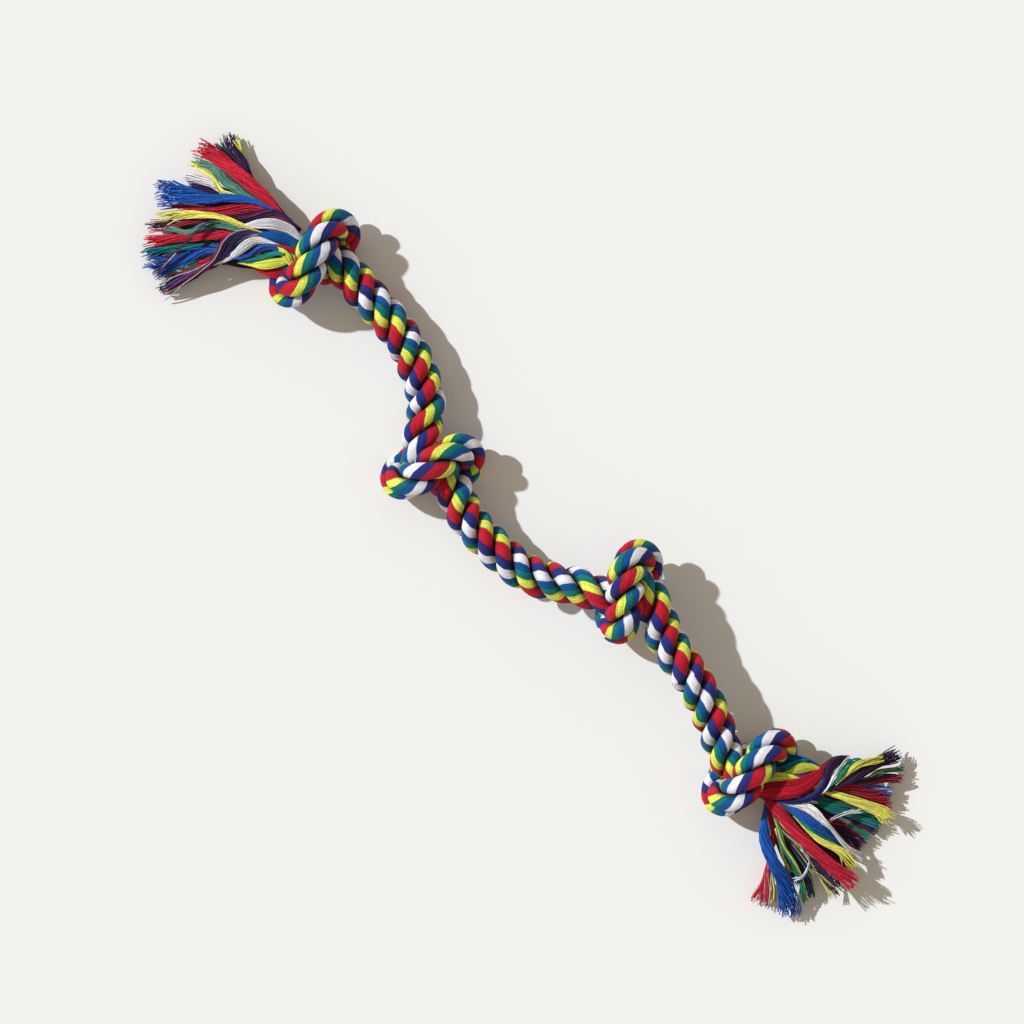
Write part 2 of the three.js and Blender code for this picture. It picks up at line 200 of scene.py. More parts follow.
def smoothstep(span: Span, values: np.ndarray) -> np.ndarray:
    """Rises smoothly from 0 at the span's start to 1 at its end."""
    t = np.clip((values - span[0]) / (span[1] - span[0]), 0.0, 1.0)
    return t * t * (3.0 - 2.0 * t)


def in_part(points: np.ndarray) -> np.ndarray:
    """Moves points from the source's millimetres to the part's metres."""
    return (points - MIDDLE) * MILLIMETRE


def rings_round(
    line: np.ndarray, reach: np.ndarray, turn: np.ndarray, axes: tuple[np.ndarray, np.ndarray]
) -> np.ndarray:
    """Sets points round a line.

    Args:
        line: The line's points.
        reach: Distance from the line, by point of the line and place round it.
        turn: Angle from the first direction, in the same order.
        axes: The two directions across the line at each of its points.

    Returns:
        Points by ring along the line and place round it.
    """
    first, second = (axis[:, None, :] for axis in axes)
    around = np.cos(turn)[:, :, None] * first + np.sin(turn)[:, :, None] * second
    return line[:, None, :] + reach[:, :, None] * around


@dataclass(frozen=True)
class KnotPlace:
    """Where one overhand knot is laid, how big, how tight, and how thick its top pass looks."""

    middle: tuple[float, float, float]
    heading: float
    long: float
    wide: float
    high: float
    girth: float
    shown_front: float


@dataclass
class RopeRoute:
    """The rope's way through its knots, drawn up tight as the part's source draws it.

    A row of knot_half is a point's place along, across and above the knot's middle, as shares of the
    knot's size, then how far its solid and its shown radius go from the core's to the top pass's.
    """

    rope_radius: float = 11.0
    core_radius: float = 6.5
    front_radius: float = 9.0
    neck_radius: float = 10.0
    shown_core: float = 6.3
    clearance: float = 1.6
    rest_depth: float = 2.4
    step: float = 5.0
    rounds: int = 420
    least_ease: float = 0.12
    least_gap: float = 1e-9
    apart_share: float = 3.2
    push_rate: float = 0.5
    sag_rate: float = 0.05
    stiffness: float = 0.25
    reads_each_point: int = 14
    tangent_reach: float = 0.05
    search_step: float = 0.02
    knots: tuple[KnotPlace, ...] = (
        KnotPlace((-178, 22, 15.5), 29, 15, 15, 13.5, 1.0, 10.3),
        KnotPlace((-48.7, -13.5, 17.5), 10, 8.2, 10.5, 10.5, 0.86, 10.5),
        KnotPlace((76.7, 15, 30), 55, 10.3, 12.9, 17, 0.87, 10.8),
        KnotPlace((196.3, -8.8, 16), 20, 13.2, 13.2, 13.5, 0.93, 10.4),
    )
    knot_half: tuple[tuple[float, ...], ...] = (
        (0, 0, 1.0, 1.0, 1.0),
        (-0.06, -0.6, 0.92, 1.0, 1.0),
        (-0.22, -1.1, 0.45, 0.7, 0.9),
        (-0.42, -1.2, -0.2, 0.35, 0.8),
        (-0.62, -0.9, -0.75, 0.1, 0.7),
        (-0.62, -0.25, -0.9, 0, 0.6),
        (-0.5, 0.35, -0.62, 0, 0.6),
        (-0.15, 0.68, -0.1, 0, 0.6),
        (0.4, 0.52, 0.12, 0.2, 0.7),
        (1.15, 0.15, 0.05, 0.7, 0.9),
    )
    stretches: tuple[tuple[tuple[float, float, float], ...], ...] = (
        (
            (-157, 28, 17), (-138, 28.5, 16.6), (-117, 26.5, 16.5),
            (-97.5, 21.2, 16), (-81, 12.5, 15), (-69, 4, 16.5),
        ),
        ((-29, -18, 17.5), (-6, -21, 17.5), (19, -20.5, 17.5), (40, -15.5, 19), (56, 0, 23)),
        ((101, 11, 30), (122, 8.5, 29.5), (144, 3, 27.5), (164, -3.5, 22)),
    )
    necks: tuple[tuple[tuple[float, float, float], ...], ...] = (
        ((-210, 9, 16), (-202, 10, 16), (-194, 14, 16)),
        ((211, -3, 16), (218, 2, 16), (225, 4, 16)),
    )
    shown_necks: tuple[tuple[float, ...], ...] = ((6.0, 6.5, 7.5), (7.5, 6.5, 6.0))
    tails: tuple[tuple[tuple[float, ...], ...], ...] = (
        ((-222, 7, 14, 2), (-218, 7.5, 15, 4), (-214, 8, 15.5, 5.5)),
        ((229, 6, 15.5, 5.5), (233, 7.5, 15, 4), (237, 9, 14, 2)),
    )
    rows: np.ndarray = field(init=False)
    run: np.ndarray = field(init=False)
    side: np.ndarray = field(init=False)
    fronts: list[int] = field(init=False)

    def __post_init__(self) -> None:
        """Lays the route, draws it up and gives it frames."""
        laid = self._stations(self._laid())
        drawn = np.hstack([self._draw_up(laid), laid[:, 3:4], laid[:, 5:6]])
        first, last = (self._tail(rows) for rows in self.tails)
        self.rows = np.vstack([first, drawn, last])
        self.run = run_of(self.rows)
        self.run -= self.run[len(first)]
        self.side = self._carry_side()
        self.fronts = [self._front(knot) for knot in self.knots]

    @staticmethod
    def _tail(rows: tuple[tuple[float, ...], ...]) -> np.ndarray:
        """Gives the stations of a frayed end, which only shows and has no laid solid."""
        return np.array([[x, y, z, radius, radius] for x, y, z, radius in rows], float)

    def _laid(self) -> np.ndarray:
        """Lays the rope from its given points.

        Returns:
            Rows of x, y, z, solid radius, freedom to move and shown radius.
        """
        rope = [self.rope_radius, 0.0, self.rope_radius]
        necks = [
            [[*point, self.neck_radius, 0.0, shown] for point, shown in zip(points, radii)]
            for points, radii in zip(self.necks, self.shown_necks)
        ]
        rows = list(necks[0])
        for index, knot in enumerate(self.knots):
            rows += self._knot_rows(knot)
            if index < len(self.stretches):
                rows += [[*point, *rope] for point in self.stretches[index]]
        # The outer turns of the outer knots are as thin as the necks that they meet.
        rows[len(necks[0])][-1] = self.shown_necks[0][-1]
        rows[-1][-1] = self.shown_necks[1][0]
        return np.array(rows + necks[1], float)

    def _knot_rows(self, knot: KnotPlace) -> list[list[float]]:
        """Lays one knot, with its second half the first one turned round.

        Args:
            knot: Where and how big the knot is.

        Returns:
            Its rows, as the whole route has them.
        """
        half = np.array(self.knot_half)
        flipped = half[:0:-1] * [-1, -1, 1, 1, 1]
        turn = math.radians(knot.heading)
        cos, sin = math.cos(turn), math.sin(turn)
        rows = []
        for x, y, z, girth, shown in np.vstack([flipped, half]):
            along, across = knot.long * x, knot.wide * y
            solid = self.core_radius + (self.front_radius - self.core_radius) * girth
            rows.append(
                [
                    knot.middle[0] + along * cos - across * sin,
                    knot.middle[1] + along * sin + across * cos,
                    knot.middle[2] + knot.high * z,
                    knot.girth * solid,
                    1.0,
                    self.shown_core + (knot.shown_front - self.shown_core) * shown,
                ]
            )
        return rows

    def _stations(self, rows: np.ndarray) -> np.ndarray:
        """Spaces stations evenly along the laid route.

        Args:
            rows: The route as it was laid.

        Returns:
            Rows like the laid ones, one for each station.
        """
        places = np.arange((len(rows) - 1) * self.reads_each_point + 1) / float(self.reads_each_point)
        dense = along_spline(rows, places)
        for column in (3, 4, 5):
            dense[:, column] = np.interp(places, np.arange(len(rows)), rows[:, column])
        run = run_of(dense)
        return spaced_evenly(dense, round(run[-1] / self.step) + 1, run)

    @staticmethod
    def _sag(points: np.ndarray) -> np.ndarray:
        """Measures how far each point lies from the middle of its neighbours.

        Args:
            points: Points along the rope.

        Returns:
            The way from each point to that middle, none at the ends.
        """
        away = np.zeros_like(points)
        away[1:-1] = 0.5 * (points[:-2] + points[2:]) - points[1:-1]
        return away

    def _draw_up(self, laid: np.ndarray) -> np.ndarray:
        """Draws the knots up: turns that touch push apart, and stiffness rounds the bends.

        Args:
            laid: The stations as they were laid.

        Returns:
            The stations' new places.
        """
        radius = laid[:, 3] + self.clearance / 2
        ease = np.clip(laid[:, 4] + self.least_ease, 0, 1)[:, None]
        ease[[0, -1]] = 0.0
        now = laid[:, :3].copy()
        step = run_of(now)[-1] / (len(now) - 1)
        index = np.arange(len(now))
        apart = np.abs(index[:, None] - index[None, :]) * step
        other = apart > self.apart_share * np.minimum(radius[:, None], radius[None, :])
        need = radius[:, None] + radius[None, :]
        for _ in range(self.rounds):
            away = now[:, None, :] - now[None, :, :]
            gap = np.linalg.norm(away, axis=2) + self.least_gap
            touch = other & (gap < need)
            pull = np.where(touch, (need - gap) / gap, 0.0)
            push = (pull[:, :, None] * away).sum(axis=1)
            push /= np.maximum(1, touch.sum(axis=1))[:, None]
            sag = self._sag(now)
            move = self.push_rate * push + self.sag_rate * sag - self.stiffness * self._sag(sag)
            now = now + ease * move
            now[:, 2] = np.maximum(now[:, 2], laid[:, 3] - self.rest_depth)
        return now

    def _carry_side(self) -> np.ndarray:
        """Carries a side direction along the rope without twist.

        Returns:
            The direction at each station.
        """
        side = UP
        sides = []
        for tangent in self.tangent(np.arange(len(self.rows), dtype=float)):
            side = unit(side - tangent * side.dot(tangent))
            sides.append(side)
        return np.array(sides)

    def _front(self, knot: KnotPlace) -> int:
        """Finds the station in the middle of a knot's top pass."""
        off = np.hypot(self.rows[:, 0] - knot.middle[0], self.rows[:, 1] - knot.middle[1])
        return int(np.argmax(self.rows[:, 2] - off))

    def point(self, places: np.ndarray) -> np.ndarray:
        """Gives points on the rope's middle line at station numbers."""
        return along_spline(self.rows[:, :3], places)

    def tangent(self, places: np.ndarray) -> np.ndarray:
        """Gives the rope's direction.

        Args:
            places: Station numbers.

        Returns:
            One direction of length one for each place.
        """
        ahead = np.minimum(places + self.tangent_reach, len(self.rows) - 1.0)
        behind = np.maximum(places - self.tangent_reach, 0.0)
        return unit(self.point(ahead) - self.point(behind))

    def frame(self, places: np.ndarray) -> tuple[np.ndarray, np.ndarray]:
        """Gives two directions across the rope.

        Args:
            places: Station numbers.

        Returns:
            The first and second direction, which with the rope's own make a right-handed frame.
        """
        tangent = self.tangent(places)
        first = np.stack([self.value(column, places) for column in self.side.T], axis=1)
        first = unit(first - tangent * (first * tangent).sum(axis=1, keepdims=True))
        return first, np.cross(tangent, first)

    def value(self, column: np.ndarray, places: np.ndarray) -> np.ndarray:
        """Reads a value that is given at the stations between them."""
        return np.interp(places, np.arange(len(self.rows)), column)

    def station(self, run: float | np.ndarray) -> float | np.ndarray:
        """Gives the station number at a length along the rope."""
        return np.interp(run, self.run, np.arange(len(self.rows)))

    def run_on(self, place: float, length: float) -> float:
        """Gives the station number a length along the rope past a station."""
        return float(self.station(self.value(self.run, np.array([place]))[0] + length))

    def nearest(self, spot: Vector, low: float, high: float) -> float:
        """Finds the station number nearest to a spot of the part.

        Args:
            spot: A point in the part's frame, in metres.
            low: First station number to look at.
            high: Last station number to look at.

        Returns:
            The station number.
        """
        places = np.arange(low, high, self.search_step)
        target = np.array(spot) / MILLIMETRE + MIDDLE
        return float(places[np.argmin(np.linalg.norm(self.point(places) - target, axis=1))])


class Tree:
    """A material's node tree, with short ways to add and join nodes."""

    def __init__(self, name: str) -> None:
        """Starts a material with only its output.

        Args:
            name: The material's name.
        """
        self.material = bpy.data.materials.new(name)
        self.material.use_nodes = True
        self.nodes = self.material.node_tree.nodes
        self.links = self.material.node_tree.links
        self.nodes.clear()
        self.output = self.nodes.new("ShaderNodeOutputMaterial")

    def add(self, kind: str, **settings: object) -> Node:
        """Adds a node.

        Args:
            kind: The node's type.
            settings: Values for its properties.

        Returns:
            The new node.
        """
        node = self.nodes.new(kind)
        for name, value in settings.items():
            setattr(node, name, value)
        return node

    def join(self, source: NodeSocket, target: NodeSocket) -> None:
        """Joins two sockets."""
        self.links.new(source, target)

    def math(self, operation: str, *values: object) -> NodeSocket:
        """Adds a Math node.

        Args:
            operation: The operation's name.
            values: Sockets or numbers for its inputs.

        Returns:
            The result's socket.
        """
        node = self.add("ShaderNodeMath", operation=operation)
        for socket, value in zip(node.inputs, values):
            if isinstance(value, (int, float)):
                socket.default_value = value
            else:
                self.join(value, socket)
        return node.outputs[0]

    def product(self, *values: NodeSocket) -> NodeSocket:
        """Multiplies values.

        Args:
            values: The values' sockets.

        Returns:
            The result's socket.
        """
        result = values[0]
        for value in values[1:]:
            result = self.math("MULTIPLY", result, value)
        return result

    def ripple(self, value: NodeSocket, each: float = 1.0) -> NodeSocket:
        """Makes ridges along a value.

        Args:
            value: The value's socket.
            each: How many ridges there are in one.

        Returns:
            The socket of the ridges' height, from 0 to 1.
        """
        wave = self.math("SINE", self.math("MULTIPLY", value, each * math.pi))
        return self.math("ABSOLUTE", wave)

    def map_parts(self, name: str) -> tuple[NodeSocket, NodeSocket]:
        """Reads a piece's own map.

        Args:
            name: The map's name.

        Returns:
            The sockets of its first and second value.
        """
        parts = self.add("ShaderNodeSeparateXYZ")
        self.join(self.add("ShaderNodeUVMap", uv_map=name).outputs[0], parts.inputs[0])
        return parts.outputs[0], parts.outputs[1]

    def stretched(self, first: NodeSocket, second: NodeSocket, scales: Span) -> NodeSocket:
        """Scales the two values of a map apart.

        Args:
            first: The first value's socket.
            second: The second value's socket.
            scales: The two values' scales.

        Returns:
            The socket of both as one vector.
        """
        whole = self.add("ShaderNodeCombineXYZ")
        self.join(self.math("MULTIPLY", first, scales[0]), whole.inputs[0])
        self.join(self.math("MULTIPLY", second, scales[1]), whole.inputs[1])
        return whole.outputs[0]

    def noise(self, vector: NodeSocket, scale: float = 1.0, detail: float = 2.0) -> NodeSocket:
        """Adds a Noise node.

        Args:
            vector: The socket of the place to read it at.
            scale: How fine it is.
            detail: How many finer layers it has.

        Returns:
            The socket of its value.
        """
        node = self.add("ShaderNodeTexNoise")
        node.inputs["Scale"].default_value = scale
        node.inputs["Detail"].default_value = detail
        self.join(vector, node.inputs["Vector"])
        return node.outputs["Fac"]

    def spread(self, value: NodeSocket, target: Span, source: Span = (0.0, 1.0)) -> NodeSocket:
        """Maps one range of values onto another.

        Args:
            value: The value's socket.
            target: What the source range becomes.
            source: The source range.

        Returns:
            The result's socket.
        """
        node = self.add("ShaderNodeMapRange")
        node.inputs["From Min"].default_value = source[0]
        node.inputs["From Max"].default_value = source[1]
        node.inputs["To Min"].default_value = target[0]
        node.inputs["To Max"].default_value = target[1]
        self.join(value, node.inputs["Value"])
        return node.outputs["Result"]

    def shade(self, colour: NodeSocket, value: NodeSocket) -> NodeSocket:
        """Darkens or lightens a colour.

        Args:
            colour: The colour's socket.
            value: The socket of a value around one.

        Returns:
            The new colour's socket.
        """
        node = self.add("ShaderNodeHueSaturation")
        self.join(colour, node.inputs["Color"])
        self.join(value, node.inputs["Value"])
        return node.outputs["Color"]

    def bump(self, height: NodeSocket, strength: float, distance: float) -> NodeSocket:
        """Adds a Bump node.

        Args:
            height: The height's socket.
            strength: How strongly it turns the surface.
            distance: How high one is, in metres.

        Returns:
            The normal's socket.
        """
        node = self.add("ShaderNodeBump")
        node.inputs["Strength"].default_value = strength
        node.inputs["Distance"].default_value = distance
        self.join(height, node.inputs["Height"])
        return node.outputs["Normal"]


@dataclass(frozen=True)
class Cotton:
    """What both cotton finishes share: matt fibre that catches a little light at its ends."""

    sheen: float
    roughness: float = 0.82
    specular: float = 0.25
    sheen_roughness: float = 0.45
    middling: Span = (0.3, 0.7)

    def finish(self, tree: Tree, colour: NodeSocket, normal: NodeSocket) -> Material:
        """Ends a tree in matt cotton.

        Args:
            tree: The material's tree.
            colour: The base colour's socket.
            normal: The bumped normal's socket.

        Returns:
            The finished material.
        """
        shader = tree.add("ShaderNodeBsdfPrincipled")
        shader.inputs["Roughness"].default_value = self.roughness
        shader.inputs["Specular IOR Level"].default_value = self.specular
        shader.inputs["Sheen Weight"].default_value = self.sheen
        shader.inputs["Sheen Roughness"].default_value = self.sheen_roughness
        tree.join(colour, shader.inputs["Base Color"])
        tree.join(normal, shader.inputs["Normal"])
        tree.join(shader.outputs[0], tree.output.inputs[0])
        return tree.material


@dataclass(frozen=True)
class LaidCotton(Cotton):
    """The rope's finish: bands of coloured yarn that run along the rope across each strand, with painted
    shade in the grooves between strands, at the seams between bands and between threads.
    """

    sheen: float = 0.05
    bands: tuple[tuple[float, Yarn], ...] = (
        (0.0, Yarn.YELLOW),
        (0.16, Yarn.RED),
        (0.40, Yarn.PLUM),
        (0.57, Yarn.WHITE),
        (0.75, Yarn.BLUE),
        (0.87, Yarn.GREEN),
    )
    threads: float = 34.0
    stray_scale: float = 260.0
    stray: Span = (-0.012, 0.012)
    fibre_scales: Span = (160.0, 24.0)
    fibre_detail: float = 3.0
    speck_scale: float = 1500.0
    thread_tones: Span = (0.84, 1.18)
    fibre_tones: Span = (0.62, 1.4)
    # Painted shade and light: the valleys between threads are darker and their crests lighter.
    ridge_tones: Span = (0.76, 1.18)
    speck_tones: Span = (0.7, 1.3)
    # Painted shade: each strand darkens from its crest towards its flanks, where the grooves between
    # strands lie.
    groove: Span = (0.22, 0.31)
    groove_tones: Span = (1.0, 0.35)
    # Painted shade: a dark line in the valley where two swollen bands of yarn meet.
    seam: Span = (0.0, 0.016)
    seam_tones: Span = (0.5, 1.0)
    white_depth: float = 0.5
    swell_power: float = 0.6
    ridge_relief: float = 0.7
    fibre_relief: float = 0.6
    bump_strength: float = 0.75
    bump_distance: float = 0.0005

    def material(self) -> Material:
        """Builds the material, which reads the strand's own map: band phase, and turn from the crest.

        Returns:
            The finished material.
        """
        tree = Tree("laid_cotton")
        place, swirl = tree.map_parts("lay")
        spot = tree.add("ShaderNodeTexCoord").outputs["Object"]
        phase = tree.math("ADD", place, tree.spread(tree.noise(spot, self.stray_scale), self.stray))
        turn = tree.math("FRACT", phase)
        colour, depth = self._bands(tree, turn)
        count = tree.math("MULTIPLY", phase, self.threads)
        each = tree.add("ShaderNodeTexWhiteNoise", noise_dimensions="1D")
        tree.join(tree.math("FLOOR", count), each.inputs["W"])
        ridge = tree.ripple(count)
        fibre = tree.noise(tree.stretched(phase, swirl, self.fibre_scales), detail=self.fibre_detail)
        speck = tree.noise(spot, self.speck_scale)
        tone = tree.product(
            tree.spread(each.outputs["Value"], self.thread_tones),
            tree.spread(fibre, self.fibre_tones, self.middling),
            # painted shade between threads and painted light on their crests
            tree.spread(ridge, self.ridge_tones),
            tree.spread(speck, self.speck_tones, self.middling),
            # painted shade in the grooves between strands, darker away from the crest
            tree.spread(tree.math("ABSOLUTE", swirl), self.groove_tones, self.groove),
        )
        tone = tree.math("ADD", 1.0, tree.math("MULTIPLY", tree.math("SUBTRACT", tone, 1.0), depth))
        # painted shade along the seams between bands
        tone = tree.math("MULTIPLY", tone, self._seams(tree, turn))
        ridges = tree.math("MULTIPLY", ridge, self.ridge_relief)
        relief = tree.math("ADD", ridges, tree.math("MULTIPLY", fibre, self.fibre_relief))
        normal = tree.bump(relief, self.bump_strength, self.bump_distance)
        return self.finish(tree, tree.shade(colour, tone), normal)

    def _bands(self, tree: Tree, turn: NodeSocket) -> tuple[NodeSocket, NodeSocket]:
        """Colours the bands of yarn.

        Args:
            tree: The material's tree.
            turn: The place in the cycle of bands.

        Returns:
            The sockets of the band's colour and of how far its threads' tones differ.
        """
        ramp = tree.add("ShaderNodeValToRGB")
        ramp.color_ramp.interpolation = "CONSTANT"
        stops = ramp.color_ramp.elements
        while len(stops) < len(self.bands):
            stops.new(0.5)
        for stop, (start, yarn) in zip(stops, self.bands):
            stop.position = start
            stop.color = (*yarn.laid[:3], self.white_depth if yarn is Yarn.WHITE else 1.0)
        tree.join(turn, ramp.inputs[0])
        return ramp.outputs["Color"], ramp.outputs["Alpha"]

    def _seams(self, tree: Tree, turn: NodeSocket) -> NodeSocket:
        """Paints shade into the seams where two bands of yarn meet.

        Args:
            tree: The material's tree.
            turn: The place in the cycle of bands.

        Returns:
            The socket of the painted shade, one away from the seams.
        """
        half_cycle = 0.5
        shade = None
        for start, _ in self.bands:
            apart = tree.math("PINGPONG", tree.math("SUBTRACT", turn, start), half_cycle)
            edge = tree.spread(apart, self.seam_tones, self.seam)
            shade = edge if shade is None else tree.math("MINIMUM", shade, edge)
        return shade

    def swell(self, phase: np.ndarray) -> np.ndarray:
        """Gives how far each bundle of yarn swells between its seams.

        Args:
            phase: Band phases.

        Returns:
            The swelling, 0 at a seam and 1 in the middle of a band.
        """
        starts = np.array([*(start for start, _ in self.bands), 1.0])
        part = np.mod(phase, 1.0)
        band = np.clip(np.searchsorted(starts, part, side="right") - 1, 0, len(starts) - 2)
        low, high = starts[band], starts[band + 1]
        share = (part - low) / (high - low)
        return (4 * share * (1 - share)) ** self.swell_power


@dataclass(frozen=True)
class LooseCotton(Cotton):
    """The tassels' finish: each thread has its own colour, its fibres and the slant of its plies, with
    painted shade between the plies and at the thread's corners, and painted light in the middle of each
    face.
    """

    sheen: float = 0.06
    plies: float = 2.0
    sides: float = 4.0
    fibre_scales: Span = (0.5, 4.0)
    fibre_detail: float = 3.0
    # Painted shade: the grooves between a thread's plies are darker.
    ply_tones: Span = (0.93, 1.07)
    fibre_tones: Span = (0.66, 1.34)
    # Painted shade and light: each thread is darker at its corners and lighter in the middle of each face,
    # so that it looks round.
    crest_tones: Span = (0.45, 1.25)
    ply_relief: float = 0.4
    bump_strength: float = 0.5
    bump_distance: float = 0.0003

    def material(self) -> Material:
        """Builds the material, which reads the thread's colour and map: plies along it, turn round it.

        Returns:
            The finished material.
        """
        tree = Tree("loose_cotton")
        colour = tree.add("ShaderNodeAttribute", attribute_name="yarn").outputs["Color"]
        along, around = tree.map_parts("thread")
        ply = tree.ripple(tree.math("ADD", along, tree.math("MULTIPLY", around, self.plies)))
        fibre = tree.noise(tree.stretched(along, around, self.fibre_scales), detail=self.fibre_detail)
        tone = tree.product(
            # painted shade between the plies
            tree.spread(ply, self.ply_tones),
            tree.spread(fibre, self.fibre_tones, self.middling),
            # painted shade at the thread's corners and painted light mid-face
            tree.spread(tree.ripple(around, self.sides), self.crest_tones),
        )
        relief = tree.math("ADD", tree.math("MULTIPLY", ply, self.ply_relief), fibre)
        normal = tree.bump(relief, self.bump_strength, self.bump_distance)
        return self.finish(tree, tree.shade(colour, tone), normal)


@dataclass(frozen=True)
class PaleFloor:
    """The floor's finish: plain, pale and matt."""

    colour: Colour = (0.93, 0.93, 0.94, 1.0)
    roughness: float = 0.9
    specular: float = 0.1

    def material(self) -> Material:
        """Builds the material.

        Returns:
            The finished material.
        """
        tree = Tree("pale_floor")
        shader = tree.add("ShaderNodeBsdfPrincipled")
        shader.inputs["Base Color"].default_value = self.colour
        shader.inputs["Roughness"].default_value = self.roughness
        shader.inputs["Specular IOR Level"].default_value = self.specular
        tree.join(shader.outputs[0], tree.output.inputs[0])
        return tree.material


class TubeMesh:
    """A mesh of tubes, each a grid rolled round its rings and closed at both ends."""

    def __init__(self, name: str, map_name: str, coloured: bool = False) -> None:
        """Starts an empty mesh.

        Args:
            name: The piece's name.
            map_name: The name of its map.
            coloured: Whether its points carry a yarn colour.
        """
        self.name = name
        self.bm = bmesh.new()
        self.map = self.bm.loops.layers.uv.new(map_name)
        self.colour = self.bm.verts.layers.float_color.new("yarn") if coloured else None

    def roll(self, rings: np.ndarray, places: np.ndarray, colour: Colour | None = None) -> None:
        """Adds one tube.

        Args:
            rings: Points in metres, by ring along the tube and place round it.
            places: The map's values, with one more place round the tube than the rings have.
            colour: The tube's yarn colour.
        """
        rows, columns = rings.shape[:2]
        half = 0.5
        made = bmesh.ops.create_grid(self.bm, x_segments=columns, y_segments=rows - 1, size=half)
        for vert in made["verts"]:
            j = round((vert.co.x + half) * columns)
            i = round((vert.co.y + half) * (rows - 1))
            for loop in vert.link_loops:
                loop[self.map].uv = places[i, j]
            vert.co = rings[i, j % columns]
            if self.colour is not None:
                vert[self.colour] = colour

    def piece(self, material: Material, merge_distance: float = 1e-7) -> Object:
        """Closes the tubes and makes the piece.

        Args:
            material: The piece's material.
            merge_distance: How near two points of a tube's seam are, in metres.

        Returns:
            The new object, at the origin.
        """
        bmesh.ops.remove_doubles(self.bm, verts=self.bm.verts, dist=merge_distance)
        for face in self.bm.faces:
            face.smooth = True
        ends = [edge for edge in self.bm.edges if edge.is_boundary]
        for edge in ends:
            edge.smooth = False
        bmesh.ops.holes_fill(self.bm, edges=ends, sides=0)
        bmesh.ops.recalc_face_normals(self.bm, faces=self.bm.faces)
        mesh = bpy.data.meshes.new(self.name)
        self.bm.to_mesh(mesh)
        self.bm.free()
        mesh.materials.append(material)
        made = bpy.data.objects.new(self.name, mesh)
        bpy.context.scene.collection.objects.link(made)
        return made


@dataclass(frozen=True)
class LayMark:
    """How the strands lie at a length along the rope: turns made, a turn's length, its cycles of bands."""

    run: float
    turns: float
    lay: float
    cycles: float
    phases: tuple[float, float, float]


